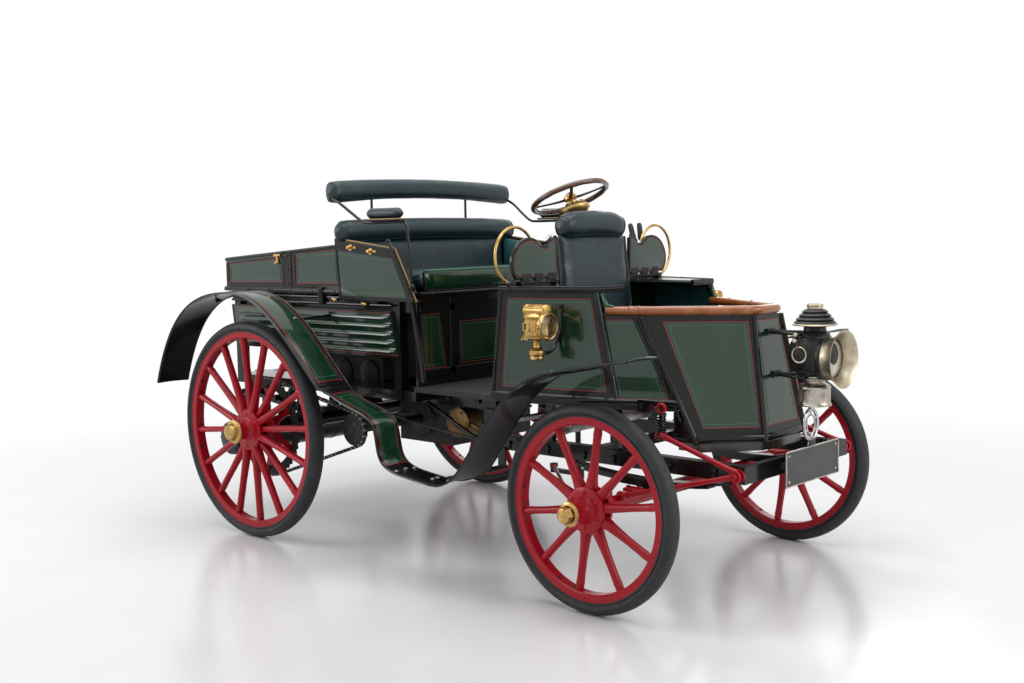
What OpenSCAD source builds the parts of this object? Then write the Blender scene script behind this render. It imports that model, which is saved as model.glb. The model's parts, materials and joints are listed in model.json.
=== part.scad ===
// Brass era car with a boat-shaped front tub, rear engine and chain drive.
// Axes: +X forward, +Y to the car's left, +Z up, millimetres.
// Origin: on the ground, below the middle of the whole car.
// Lengths named *_x are measured forward from the rear axle.

/* [Wheels] */
// Distance between the axles
wheelbase = 1786; // [1500:1:2300]
// Diameter over a rear tyre
rear_wheel_d = 920; // [780:1:1100]
// Diameter over a front tyre
front_wheel_d = 710; // [600:1:850]
// Distance between the middles of the rear tyres
rear_track = 1420; // [1300:1:1700]
// Distance between the middles of the front tyres
front_track = 1288; // [1240:1:1560]
// Width of a tyre
tyre_w = 68; // [40:1:80]
// Depth of the rubber outside the rim
tyre_depth = 44; // [25:1:60]
// Width of the wooden rim
felloe_w = 46; // [30:1:60]
// Depth of the wooden rim
felloe_depth = 38; // [25:1:50]
// Diameter of a spoke
spoke_d = 30; // [18:1:36]
// Number of spokes in a rear wheel
rear_spokes = 16; // [10:1:20]
// Number of spokes in a front wheel
front_spokes = 10; // [8:1:16]
// Diameter of the axle spindles
spindle_d = 40; // [24:1:48]
// Gap between a spindle and its bore
run_gap = 0.05; // [0.02:0.01:0.09]

/* [Body] */
// Height of the underside of the floor
floor_z = 650; // [600:1:720]
// Thickness of the floor boards
floor_t = 20; // [12:1:30]
// Height of the deck below the bench and the rear box
deck_z = 1030; // [960:1:1100]
// Thickness of the deck
deck_t = 18; // [12:1:24]
// Width of the body at the bench
body_w = 960; // [800:1:1040]
// Thickness of the wooden body panels
panel_t = 16; // [10:1:24]
// Rear end of the rear box
box_rear_x = -482; // [-560:1:-420]
// Length of the bay at the rear that the lid covers
lid_l = 440; // [300:1:460]
// Height of the rear box at its rear end
box_rear_h = 130; // [90:1:180]
// Height of the rear box at the bench
box_front_h = 188; // [140:1:240]
// Thickness of the lid
lid_t = 20; // [12:1:30]

/* [Front tub] */
// Rear face of the front seat
tub_rear_x = 1250; // [1180:1:1320]
// Height of the shelves beside the front seat
shelf_z = 1060; // [1000:1:1120]
// Height of the rim of the tub
rim_z = 975; // [900:1:1040]
// Height of the lower edge of the bow
bow_z = 548; // [500:1:620]
// Distance from the rear axle to the nose at the rim
nose_x = 2070; // [1950:1:2200]
// Width of the nose at the rim
nose_w = 160; // [120:1:260]
// Diameter of the bamboo rail
rail_d = 34; // [20:1:45]

/* [Seats] */
// Front edge of the bench cushion
bench_front_x = 812; // [760:1:860]
// Length of the bench cushion from front to back
bench_l = 390; // [320:1:440]
// Gap between the bench cushion and each side of the body
bench_gap = 30; // [10:1:60]
// Thickness of the bench cushion
bench_t = 78; // [50:1:110]
// Diameter of the roll on top of the bench back
roll_d = 92; // [60:1:120]
// Height of the middle of the head rail
head_z = 1472; // [1400:1:1560]
// Diameter of the head rail pad
head_d = 78; // [50:1:95]
// Half width of the front seat
front_seat_hw = 205; // [170:1:215]

/* [Steering] */
// Diameter of the steering wheel
steer_d = 326; // [280:1:420]
// Thickness of the steering wheel rim
steer_rim = 24; // [16:1:32]
// Rearward lean of the steering wheel shaft
steer_lean = 23; // [10:1:30]
// Gap between the middle of the steering column and the back of the front seat
column_gap = 40; // [38:1:70]
// Distance between a king pin and the middle of its tyre
pin_offset = 84; // [82:1:110]
// Length of the steering arms
arm_l = 130; // [100:1:160]

/* [Chassis] */
// Height of the rear frame rails
rail_h = 60; // [40:1:80]
// Width of the frame rails
rail_w = 40; // [30:1:50]
// Half distance between the middles of the frame rails
rail_y = 320; // [280:1:345]
// Height of the middle of the front frame rails
low_rail_z = 468; // [440:1:500]
// Diameter of a rear chain wheel
chain_wheel_d = 420; // [300:1:480]

/* [Lamps and plate] */
// Diameter of the mouth of the headlamp
mouth_d = 200; // [150:1:240]
// Distance from the rear axle to the mouth of the headlamp
mouth_x = 2372; // [2340:1:2420]
// Width of the number plate
plate_w = 360; // [250:1:420]
// Height of the number plate
plate_h = 120; // [90:1:150]

/* [Hidden] */
$fn = 48;

rear_r = rear_wheel_d / 2;
front_r = front_wheel_d / 2;
half_w = body_w / 2;
bench_w = body_w - 2 * bench_gap;
fender_t = 5;
fender_gap = 112;
fender_w = 156;
// the two ends of the car, and the shift that centres it
rear_end_x = -rear_r - 140;
car_shift = -(rear_end_x + mouth_x) / 2;

// places shared by several pieces
column_x = tub_rear_x - column_gap;
pin_y = front_track / 2 - pin_offset;
arm_z = front_r - 52;
seat = 0.3;
chain_y = rear_track / 2 - 92;
drive_x = 560;
drive_z = rear_r + 40;
drive_wheel_r = 65;
seat_back_x = tub_rear_x + 50;
shelf_front_x = 1602;
bend_x = 1752;
foot_x = 1990;
cross_x = 2190;
lid_x = box_rear_x + lid_l;
box_front_x = bench_front_x - bench_l - 90;
head_x = mouth_x - 118;
lamp_x = 1475;
lamp_y = half_w + 62;

// right half of the tub in plan, at its rim and at its lower edge
floor_top = floor_z + floor_t;
top_plan = [[tub_rear_x, -half_w + 8], [shelf_front_x, -354], [bend_x, -288], [nose_x, -nose_w / 2]];
foot_plan = [foot_x, -300];
low_nose = [nose_x + 72, -nose_w / 2 - 46];
bend_low = mix(top_plan[2], foot_plan, (rim_z - floor_top) / (rim_z - bow_z));
low_plan = [[tub_rear_x - 50, -half_w + 8], [shelf_front_x + 110, -380], bend_low];
function mix(a, b, t) = a + (b - a) * t;
function lift(p, z) = [p[0], p[1], z];
// outer face, at x and z, of a panel whose middle plane passes through p, q and r
function face_y(p, q, r, x, z) = let(n = cross(q - p, r - p))
    p[1] - (n[0] * (x - p[0]) + n[2] * (z - p[2])) / n[1] - panel_t / 2 * norm(n) / abs(n[1]);
function side_y(x, z) = face_y(lift(top_plan[0], shelf_z), lift(top_plan[1], shelf_z),
    lift(low_plan[1], floor_top), x, z);
function cheek_y(x, z) = face_y(lift(top_plan[1], rim_z), lift(top_plan[2], rim_z),
    lift(low_plan[1], floor_top), x, z);
function nose_face(z) = mix(nose_x, low_nose[0], (rim_z - z) / (rim_z - bow_z)) + panel_t / 2;

// --- helpers ---------------------------------------------------------------
module place() translate([car_shift, 0, 0]) children();
// a round bar from a to b
module bar(a, b, d) {
    v = b - a;
    l = norm(v);
    translate(a)
        rotate([0, acos(v[2] / l), atan2(v[1], v[0])])
            cylinder(d = d, h = l);
}
// a block from its lowest to its highest corner
module block(a, b) translate(a) cube(b - a);
// both sides: right as drawn, left mirrored
module both() {
    children();
    mirror([0, 1, 0]) children();
}
// a cylinder along Y from y0 to y1
module rod_y(x, z, d, y0, y1)
    translate([x, y1, z]) rotate([90, 0, 0]) cylinder(d = d, h = y1 - y0);
function bez(p, t) = pow(1 - t, 3) * p[0] + 3 * t * pow(1 - t, 2) * p[1]
    + 3 * t * t * (1 - t) * p[2] + t * t * t * p[3];
function curve(p, n) = [for (i = [0 : n]) bez(p, i / n)];
// a list without its first entry
function tail(v) = [for (i = [1 : len(v) - 1]) v[i]];
function side_step(pts, i) = let(
    a = pts[max(i - 1, 0)],
    b = pts[min(i + 1, len(pts) - 1)],
    d = (b - a) / norm(b - a)) [-d[1], d[0]];
// a ribbon of thickness t along pts
module ribbon(pts, t) polygon(concat(
    [for (i = [0 : len(pts) - 1]) pts[i] + side_step(pts, i) * t / 2],
    [for (i = [len(pts) - 1 : -1 : 0]) pts[i] - side_step(pts, i) * t / 2]));
// a plate drawn in X and Z, from y0 to y1
module side_plate(y0, y1) translate([0, y1, 0]) rotate([90, 0, 0])
    linear_extrude(y1 - y0) children();

// --- wheels ----------------------------------------------------------------
module wheel_body(r, spokes, hub_r, inner, outer) {
    rim_r = r - tyre_depth;
    difference() {
        union() {
            rotate_extrude($fn = 96)
                translate([rim_r - felloe_depth, -felloe_w / 2])
                    square([felloe_depth, felloe_w]);
            for (i = [0 : spokes - 1]) rotate([0, 0, i * 360 / spokes])
                translate([hub_r - 12, 0, 0]) rotate([0, 90, 0])
                    cylinder(d = spoke_d, h = rim_r - felloe_depth - hub_r + 20);
            translate([0, 0, -inner]) cylinder(r = hub_r * 0.72, h = inner + outer);
            translate([0, 0, -24]) cylinder(r = hub_r, h = 48);
            translate([0, 0, outer]) cylinder(d = 72, h = 34);
        }
        translate([0, 0, -inner - 1])
            cylinder(d = spindle_d + 2 * run_gap, h = inner + outer - 9);
    }
}
module tyre_body(r) {
    rim_r = r - tyre_depth;
    edge = tyre_w / 2;
    rotate_extrude($fn = 96) union() {
        translate([rim_r, -edge + 6]) square([tyre_depth - edge + 6, tyre_w - 12]);
        intersection() {
            translate([r - edge, 0]) circle(r = edge, $fn = 64);
            translate([r - edge - 1, -edge]) square([edge + 2, tyre_w]);
        }
        translate([rim_r, -felloe_w / 2]) square([tyre_depth - edge + 1, felloe_w]);
    }
}
// turns a wheel drawn about Z to stand on the car, outer face away from it
module stand(x, y, z) translate([x, y, z]) rotate([y < 0 ? 90 : -90, 0, 0]) children();
module rear_wheel(y) color([0.62, 0.03, 0.05]) place() {
    s = sign(y);
    stand(0, y, rear_r) wheel_body(rear_r, rear_spokes, 88, 62, 88);
    // chain wheel bolted to the inside of the hub
    stand(0, y - s * 92, rear_r) difference() {
        cylinder(d = chain_wheel_d, h = 9, $fn = 96);
        translate([0, 0, -1]) cylinder(d = spindle_d + 2 * run_gap, h = 11);
        for (i = [0 : 5]) rotate([0, 0, i * 60 + 30])
            translate([chain_wheel_d * 0.3, 0, -1]) cylinder(d = chain_wheel_d * 0.2, h = 11);
    }
    stand(0, y - s * 84, rear_r) difference() {
        cylinder(r = 60, h = 30);
        translate([0, 0, -1]) cylinder(d = spindle_d + 2 * run_gap, h = 32);
    }
}
module front_wheel(y) color([0.62, 0.03, 0.05]) place()
    stand(wheelbase, y, front_r) wheel_body(front_r, front_spokes, 80, 34, 78);
module rear_tyre(y) color([0.09, 0.09, 0.1]) place() stand(0, y, rear_r) tyre_body(rear_r);
module front_tyre(y) color([0.09, 0.09, 0.1]) place()
    stand(wheelbase, y, front_r) tyre_body(front_r);
module rear_wheel_right() rear_wheel(-rear_track / 2);
module rear_wheel_left() rear_wheel(rear_track / 2);
module front_wheel_right() front_wheel(-front_track / 2);
module front_wheel_left() front_wheel(front_track / 2);
module rear_tyre_right() rear_tyre(-rear_track / 2);
module rear_tyre_left() rear_tyre(rear_track / 2);
module front_tyre_right() front_tyre(-front_track / 2);
module front_tyre_left() front_tyre(front_track / 2);

// --- axles and steering ----------------------------------------------------
boss_h = 56;
cheek_t = 14;
boss_d = 52;
pin_d = 24;
module rear_axle() color([0.12, 0.12, 0.12]) place() {
    rod_y(0, rear_r, spindle_d, -rear_track / 2 - 70, rear_track / 2 + 70);
    both() rod_y(0, rear_r, 64, -rear_track / 2 + 130, -rail_y - 10);
    rod_y(0, rear_r, 58, -rail_y - 12, rail_y + 12);
}
module front_axle() color([0.62, 0.03, 0.05]) place() {
    difference() {
        union() {
            rod_y(wheelbase, front_r, 44, -pin_y, pin_y);
            both() translate([wheelbase, -pin_y, front_r - boss_h / 2])
                cylinder(d = boss_d, h = boss_h);
        }
        both() translate([wheelbase, -pin_y, front_r - boss_h])
            cylinder(d = pin_d + 2 * run_gap, h = 2 * boss_h);
    }
}
// right-hand knuckle: fork, pin, spindle and arm
module knuckle(arm) translate([wheelbase, -pin_y, front_r]) {
    gap = 1;
    low = boss_h / 2 + gap;
    for (s = [-1, 1]) translate([0, 0, s > 0 ? low : -low - cheek_t]) union() {
        cylinder(d = boss_d, h = cheek_t);
        translate([-14, -boss_d / 2 - 14, 0]) cube([28, boss_d / 2 + 14, cheek_t]);
    }
    translate([-14, -boss_d / 2 - 14, -low]) cube([28, 12, 2 * low]);
    translate([0, 0, -low - cheek_t]) cylinder(d = pin_d, h = 2 * (low + cheek_t));
    // spindle for the wheel
    translate([0, -boss_d / 2 - 13, 0]) rotate([90, 0, 0])
        cylinder(d = spindle_d, h = pin_offset - boss_d / 2 - 13 + 60);
    // steering arm with the upright pin on its end
    bar([-8, 0, -low - cheek_t / 2], [-arm_l, 0, arm_z - front_r], 14);
    translate([-arm_l, 0, arm_z - front_r - 10]) cylinder(d = 30, h = 20);
    translate([-arm_l, 0, arm_z - front_r - 28]) cylinder(d = 14, h = arm);
}
module knuckle_right() color([0.62, 0.03, 0.05]) place() knuckle(70);
module knuckle_left() color([0.62, 0.03, 0.05]) place() mirror([0, 1, 0]) knuckle(38);
// a link with an eye round the pin at each end
module link(a, b, d, eye) difference() {
    union() {
        bar(a + (b - a) * 0.01, b - (b - a) * 0.01, d);
        for (p = [a, b]) translate(p - [0, 0, 8]) cylinder(d = eye, h = 16);
    }
    for (p = [a, b]) translate(p - [0, 0, 20]) cylinder(d = 14 + 2 * run_gap, h = 40);
}
tie_z = arm_z - 19;
drag_z = arm_z + 19;
module tie_rod() color([0.62, 0.03, 0.05]) place()
    link([wheelbase - arm_l, pin_y, tie_z], [wheelbase - arm_l, -pin_y, tie_z], 15, 34);
module drag_link() color([0.62, 0.03, 0.05]) place()
    link([column_x - arm_l, 0, drag_z], [wheelbase - arm_l, -pin_y, drag_z], 15, 34);
module steering_shaft() color([0.3, 0.3, 0.3]) place() {
    translate([column_x, 0, drag_z - 40]) cylinder(d = 22, h = floor_z + 60 - drag_z + 40);
    translate([column_x - arm_l, 0, drag_z - 28]) cylinder(d = 14, h = 38);
    block([column_x - arm_l, -11, drag_z - 28], [column_x, 11, drag_z - 12]);
    translate([column_x - arm_l, 0, drag_z - 28]) cylinder(d = 30, h = 16);
    translate([column_x, 0, drag_z - 40]) cylinder(d = 46, h = 40);
}
// the inclined shaft of the steering wheel meets the column here
knee = [column_x, 0, 1350];
module leaning() translate(knee) rotate([0, -steer_lean, 0]) children();
module steering_column() color([0.75, 0.6, 0.25]) place() {
    difference() {
        union() {
            translate([column_x, 0, floor_top + seat])
                cylinder(d = 42, h = knee[2] - floor_top - seat);
            translate(knee) sphere(d = 64);
            leaning() cylinder(d = 58, h = 40);
        }
        translate([column_x, 0, 0]) cylinder(d = 22 + 2 * run_gap, h = floor_z + 70);
        leaning() translate([0, 0, 10]) cylinder(d = 16 + 2 * run_gap, h = 60);
    }
}
module steering_wheel() color([0.35, 0.17, 0.08]) place() leaning() translate([0, 0, 66]) {
    rotate_extrude() translate([steer_d / 2 - steer_rim / 2, 0]) circle(d = steer_rim);
    for (i = [0 : 3]) rotate([0, 0, i * 90 + 45]) translate([12, 0, -4]) rotate([0, 90, 0])
        cylinder(d = 12, h = steer_d / 2 - steer_rim);
    translate([0, 0, -16]) cylinder(d = 54, h = 30);
    translate([0, 0, -56]) cylinder(d = 16, h = 56);
}

// --- chassis ---------------------------------------------------------------
rail_top = floor_z - 2;
rail_low = rail_top - rail_h;
drop_x = 1080;
module chassis_frame() color([0.1, 0.1, 0.1]) place() {
    both() {
        block([box_rear_x, -rail_y - rail_w / 2, rail_low], [drop_x, -rail_y + rail_w / 2, rail_top]);
        block([drop_x - 60, -rail_y - rail_w / 2, low_rail_z - 28],
            [drop_x, -rail_y + rail_w / 2, rail_top]);
        block([drop_x - 60, -rail_y - rail_w / 2, low_rail_z - 28],
            [cross_x, -rail_y + rail_w / 2, low_rail_z + 28]);
        // brackets that carry the tub on the low rails
        for (x = [1330, 1640]) block([x, -rail_y - 12, low_rail_z + 20],
            [x + 30, -rail_y + 12, rail_top]);
    }
    for (x = [box_rear_x, 300, drop_x - 60]) block([x, -rail_y, rail_low + 6],
        [x + 40, rail_y, rail_top - 6]);
    block([1480, -rail_y, low_rail_z - 24], [1520, rail_y, low_rail_z + 10]);
    block([cross_x - 12, -rail_y - 30, low_rail_z - 29], [cross_x + 12, rail_y + 30, low_rail_z + 29]);
}
// half-elliptic spring: leaves stacked along an arc
module leaf_spring(x, y, z, l, rise, w) {
    pts = curve([[x - l / 2, z + rise], [x - l / 5, z - rise * 0.2],
        [x + l / 5, z - rise * 0.2], [x + l / 2, z + rise]], 16);
    side_plate(y - w / 2, y + w / 2) union() {
        ribbon(pts, 10);
        ribbon([for (i = [2 : 14]) pts[i] - [0, 9]], 10);
        ribbon([for (i = [5 : 11]) pts[i] - [0, 18]], 10);
    }
}
spring_y = 420;
module springs() color([0.16, 0.16, 0.17]) place() both() {
    leaf_spring(0, -spring_y, rear_r + 60, 820, 66, 50);
    block([-30, -spring_y - 30, rear_r + 32 + seat], [30, -spring_y + 30, rear_r + 48]);
    for (x = [-420, 394]) block([x, -spring_y - 25, rail_low - 20],
        [x + 26, -rail_y - rail_w / 2, rail_low + 20 - seat]);
    leaf_spring(wheelbase, -rail_y, front_r + 44, 700, low_rail_z - 34.5 - front_r - 44, 44);
    block([wheelbase - 28, -rail_y - 24, front_r + 22 + seat], [wheelbase + 28, -rail_y + 24, front_r + 34]);
}
module front_stays() color([0.62, 0.03, 0.05]) place() both() {
    hub = [cross_x - 8, -rail_y - 44, low_rail_z];
    bar(hub, [wheelbase + 28, -pin_y + 60, front_r + 23], 24);
    bar(hub + [0, 0, 12], [wheelbase + 90, -rail_y - 40, floor_z - 90], 24);
    block(hub - [26, 14, 22], hub + [26, 14, 26]);
    bar([wheelbase + 90, -rail_y - 40, floor_z - 100], [wheelbase + 90, -rail_y - 40, floor_z - 2], 40);
}
module floor_boards() color([0.3, 0.3, 0.31]) place() difference() {
    right = [[760, -half_w + 8], low_plan[0], low_plan[1], [foot_x - 100, bend_low[1] - 12]];
    translate([0, 0, floor_z]) linear_extrude(floor_t) polygon(concat(right,
        [for (i = [3 : -1 : 0]) [right[i][0], -right[i][1]]]));
    translate([column_x, 0, floor_z - 5]) cylinder(d = 34, h = floor_t + 10);
}
engine_half = 180;
case_half = 240;
case_front_x = 740;
bearer_x = [-200, 120, 450];
bearer_y = rail_y - rail_w / 2;
pump_x = 860;
pump_z = 520;
module engine_and_gearbox() color([0.2, 0.2, 0.2]) place() {
    block([-300, -engine_half, rail_low + 4], [250, engine_half, deck_z - 80]);
    block([420, -case_half, 400], [case_front_x, case_half, 620]);
    // bearers between the frame rails
    for (x = bearer_x) block([x, -bearer_y, rail_low + 12], [x + 30, bearer_y, rail_low + 30]);
    both() rod_y(drive_x, drive_z, 36, -chain_y - 16, -case_half + 2);
    both() rod_y(drive_x, drive_z, 2 * drive_wheel_r, -chain_y - 5, -chain_y + 5);
    // brass pump beside the gearbox, on its bracket
    rod_y(pump_x, pump_z, 120, -330, -250);
    block([case_front_x - 2, -300, pump_z - 20], [pump_x + 2, -case_half + 20, pump_z + 20]);
}
module water_tank() color([0.5, 0.5, 0.5]) place() {
    rod_y(1340, floor_z - 75, 130, -260, 260);
    both() block([1325, -200, floor_z - 20], [1355, -180, floor_z - seat]);
}
module silencer() color([0.12, 0.12, 0.12]) place() {
    rod_y(-440, 350, 150, -520, 520);
    bar([-450, -400, 400], [-500, -400, 560], 44);
    both() block([-450, -rail_y - 8, 400], [-430, -rail_y + 8, rail_low]);
}
// loops of chain round the rear chain wheels and the drive shaft
function arc(c, r, a0, a1, n) = [for (i = [0 : n])
    c + r * [cos(a0 + (a1 - a0) * i / n), sin(a0 + (a1 - a0) * i / n)]];
module chain_loop(big_gap, small_gap) {
    big = chain_wheel_d / 2 + big_gap;
    small = drive_wheel_r + small_gap;
    to = [drive_x, drive_z - rear_r];
    tilt = atan2(to[1], to[0]);
    a = acos((big - small) / norm(to));
    polygon(concat(arc([0, 0], big, tilt + a, tilt + 360 - a, 48), arc(to, small, tilt - a, tilt + a, 24)));
}
module drive_chains() color([0.2, 0.2, 0.2]) place() both()
    translate([0, -chain_y + 9, rear_r]) rotate([90, 0, 0]) linear_extrude(18) difference() {
        chain_loop(16, 14);
        chain_loop(2, 2 * seat);
    }

// --- fenders ---------------------------------------------------------------
arch_z = 2 * rear_r + fender_gap + 10;
front_edge_x = wheelbase + 224;
rear_path = concat(
    curve([[rear_end_x + fender_t / 2, rear_r + 165], [-470, arch_z - 60],
        [-260, arch_z], [-20, arch_z]], 14),
    tail(curve([[-20, arch_z], [220, arch_z - 4], [370, arch_z - 200], [548, rear_r + 224]], 14)));
step_path = concat(
    curve([[548, rear_r + 224], [700, 600], [800, 620], [850, 560]], 8),
    tail(curve([[850, 560], [880, 480], [850, 420], [960, 395]], 8)),
    [[1080, 380], [1170, 372]]);
front_path = concat(
    curve([[1170, 372], [1300, 376], [1400, 760], [1690, 812]], 14),
    tail(curve([[1690, 812], [1800, 832], [1900, 850], [front_edge_x, 866]], 5)));
fender_path = concat(rear_path, tail(step_path), tail(front_path));
fender_y = -rear_track / 2;
front_fender_y = -front_track / 2;
step_hw = 60;
fender_plan = [[rear_end_x - 9, fender_y - fender_w / 2], [548, fender_y - fender_w / 2],
    [600, fender_y - step_hw], [1150, fender_y - step_hw], [1230, front_fender_y - 92],
    [front_edge_x + 9, front_fender_y - 80], [front_edge_x + 9, front_fender_y + 76],
    [1230, front_fender_y + 86], [1150, fender_y + step_hw], [600, fender_y + step_hw],
    [548, fender_y + fender_w / 2], [rear_end_x - 9, fender_y + fender_w / 2]];
module fender() place() {
    intersection() {
        side_plate(fender_y - 200, fender_y + 200) ribbon(fender_path, fender_t);
        linear_extrude(2000) polygon(fender_plan);
    }
    // irons from the body
    arch_a = rear_path[9];
    arch_b = rear_path[21];
    crest = front_path[14];
    bar([arch_a[0], fender_y + 40, arch_a[1]], [arch_a[0], -half_w - 1.2, deck_z + deck_t / 2], 12);
    bar([arch_b[0], fender_y + 40, arch_b[1]], [arch_b[0], -half_w - 5, 940], 12);
    bar([crest[0], front_fender_y, crest[1]],
        [crest[0], cheek_y(crest[0], crest[1]) - 3.8, crest[1]], 12);
    block([1100, fender_y + 20, 368], [1140, -rail_y - rail_w / 2 - seat, 378]);
    block([1100, -rail_y - rail_w / 2 - 9, 368], [1140, -rail_y - rail_w / 2 - seat, low_rail_z]);
}
module fender_right() color([0.03, 0.14, 0.09]) fender();
module fender_left() color([0.03, 0.14, 0.09]) mirror([0, 1, 0]) fender();

// --- rear body -------------------------------------------------------------
box_bottom = deck_z + deck_t;
box_rear_z = box_bottom + box_rear_h;
box_front_z = box_bottom + box_front_h;
function roof(x) = box_rear_z
    + (box_front_z - box_rear_z) * (x - box_rear_x) / (box_front_x - box_rear_x);
module roof_wedge(x0, x1, y) translate([0, y, 0]) rotate([90, 0, 0])
    linear_extrude(2 * y) polygon([[x0, box_bottom], [x1, box_bottom],
        [x1, roof(x1)], [x0, roof(x0)]]);
// lid in the slope of the roof, with its hinge along the left side
roof_tilt = atan2(box_front_z - box_rear_z, box_front_x - box_rear_x);
hinge_y = half_w + 6;
hinge_z = -lid_t - 1;
hinge_d = 12;
hinges = [60, lid_l - 100];
module on_roof() translate([box_rear_x, 0, box_rear_z]) rotate([0, -roof_tilt, 0]) children();
module rear_box() color([0.03, 0.14, 0.09]) place() {
    t = panel_t;
    difference() {
        roof_wedge(box_rear_x, box_front_x, half_w - 2);
        for (r = [[box_rear_x + t, lid_x - t / 2], [lid_x + t / 2, box_front_x - t]])
            side_plate(-half_w + 2 + t, half_w - 2 - t) polygon([[r[0], box_bottom - 1],
                [r[1], box_bottom - 1], [r[1], roof(r[1]) - t], [r[0], roof(r[0]) - t]]);
        // mouth below the lid
        on_roof() block([-20, -half_w, -lid_t - seat], [lid_l + seat, half_w, 200]);
    }
    on_roof() for (x = hinges) {
        translate([x, hinge_y, hinge_z]) rotate([0, 90, 0]) cylinder(d = hinge_d, h = 20);
        block([x, half_w - 3, hinge_z - 12], [x + 20, hinge_y, hinge_z - 1]);
    }
}
module rear_lid() color([0.03, 0.14, 0.09]) place() on_roof() {
    block([0, -half_w + 2, -lid_t], [lid_l, half_w - 2, 0]);
    for (x = hinges) {
        translate([x + 21, hinge_y, hinge_z]) rotate([0, 90, 0]) cylinder(d = hinge_d, h = 20);
        block([x + 21, half_w - 3, hinge_z + 2], [x + 41, hinge_y, hinge_z + 6]);
    }
}
module louvre_panels() color([0.05, 0.2, 0.13]) place() both() {
    y = -half_w + 4;
    side_plate(y, y + 10) polygon([[-420, 780], [690, 780], [640, 968], [-450, 968]]);
    for (i = [0 : 4]) bar([-400, y, 806 + i * 34], [660 - i * 8, y, 806 + i * 34], 16);
}
module bench_frame() color([0.08, 0.08, 0.08]) place() {
    // deck
    block([box_rear_x, -half_w, deck_z], [bench_front_x, half_w, deck_z + deck_t]);
    // riser below the front of the bench
    block([760, -half_w + 20, floor_z + floor_t], [760 + panel_t, half_w - 20, deck_z]);
    both() {
        // posts from the rails to the deck
        for (x = [-440, 640]) block([x, -half_w + 14, rail_top], [x + 40, -half_w + 56, deck_z]);
        block([-440, -half_w + 14, rail_low + 20], [680, -rail_y - rail_w / 2, rail_top]);
        block([680, -half_w + 20, rail_low + 20], [756, -rail_y - rail_w / 2, rail_top]);
        // side of the bench
        difference() {
            side_plate(-half_w - 22, -half_w + 2) polygon([[350, deck_z + deck_t - 40],
                [bench_front_x + 4, deck_z - 20], [700, 1216], [330, 1262]]);
            rod_y(box_front_x + 44, roll_z, roll_d + 2 * seat, -half_w - 60, -half_w + 10);
        }
    }
}

// --- seats -----------------------------------------------------------------
module pad(a, b, r) {
    // block with rounded long edges along Y
    side_plate(a[1], b[1]) hull() for (x = [a[0] + r, b[0] - r], z = [a[2] + r, b[2] - r])
        translate([x, z]) circle(r = r, $fn = 24);
}
seat_z = deck_z + deck_t;
arm_pad_z = 1330;
roll_z = 1290;
module bench_cushion() color([0.09, 0.17, 0.18]) place()
    pad([bench_front_x - bench_l, -bench_w / 2, seat_z],
        [bench_front_x, bench_w / 2, seat_z + bench_t], 16);
module bench_back() color([0.09, 0.17, 0.18]) place() {
    side_plate(-bench_w / 2, bench_w / 2) polygon([[box_front_x + 2, seat_z],
        [box_front_x + 86, seat_z], [box_front_x + 70, 1250], [box_front_x + 2, 1250]]);
    rod_y(box_front_x + 44, roll_z, roll_d, -535, 535);
}
module head_and_arm_pads() color([0.09, 0.17, 0.18]) place() {
    rod_y(box_front_x + 10, head_z, head_d, -538, 538);
    both() pad([560, -half_w - 70, arm_pad_z], [776, -half_w - 10, arm_pad_z + 42], 18);
}
module seat_irons() color([0.1, 0.1, 0.1]) place() both() {
    stay_x = box_front_x - 12;
    stay_top = head_z - sqrt(pow(head_d / 2, 2) - pow(16, 2)) - seat;
    bar([stay_x, -284, roof(stay_x + 6) + seat], [stay_x, -284, stay_top], 12);
    // iron from the head rail along the arm pad and down the side of the bench
    y = -half_w - 28 - seat;
    z = arm_pad_z - 6 - seat;
    bar([box_front_x + 14, -528, head_z - head_d / 2 - 5.5], [540, y, z], 12);
    bar([536, y, z], [778, y, z], 12);
    bar([774, y, z], [bench_front_x - 12, y, deck_z + 16], 12);
    // hand rail hoop beside the wing
    translate([seat_back_x - 26, -half_w + 45, shelf_z + shelf_t + 112 + seat]) rotate([0, 90, 0])
        difference() {
            cylinder(r = 112, h = 12);
            translate([0, 0, -1]) cylinder(r = 100, h = 14);
            translate([-200, 40, -1]) cube([400, 200, 14]);
        }
}

// --- front tub -------------------------------------------------------------
// a panel between two upright edges
module wall(top_a, top_b, low_a, low_b, zt, zl) hull() {
    for (p = [top_a, top_b]) translate([p[0], p[1], zt - 1]) cylinder(d = panel_t, h = 1, $fn = 16);
    for (p = [low_a, low_b]) translate([p[0], p[1], zl]) cylinder(d = panel_t, h = 1, $fn = 16);
}
module front_tub() color([0.03, 0.14, 0.09]) place() {
    both() {
        wall(top_plan[0], top_plan[1], low_plan[0], low_plan[1], shelf_z, floor_top);
        wall(top_plan[1], top_plan[2], low_plan[1], low_plan[2], rim_z, floor_top);
        wall(top_plan[2], top_plan[3], foot_plan, low_nose, rim_z, bow_z);
        side_plate(-308, -292) polygon([[foot_x - 100, bow_z], [foot_x, bow_z],
            [bend_low[0] + 10, floor_z], [foot_x - 100, floor_z]]);
    }
    hull() both() {
        translate([nose_x, top_plan[3][1], rim_z - 1]) cylinder(d = panel_t, h = 1, $fn = 16);
        translate([low_nose[0], low_nose[1], bow_z]) cylinder(d = panel_t, h = 1, $fn = 16);
    }
    // back wall of the front seat
    block([tub_rear_x, -half_w + 8, floor_top], [tub_rear_x + panel_t, half_w - 8, shelf_z]);
    // foot-well of the bow
    translate([0, 0, bow_z]) linear_extrude(14) polygon([[foot_x - 100, -302], foot_plan, low_nose,
        [low_nose[0], -low_nose[1]], [foot_x, -foot_plan[1]], [foot_x - 100, 302]]);
    block([foot_x - 100, -302, bow_z], [foot_x - 86, 302, floor_z - seat]);
}
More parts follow.
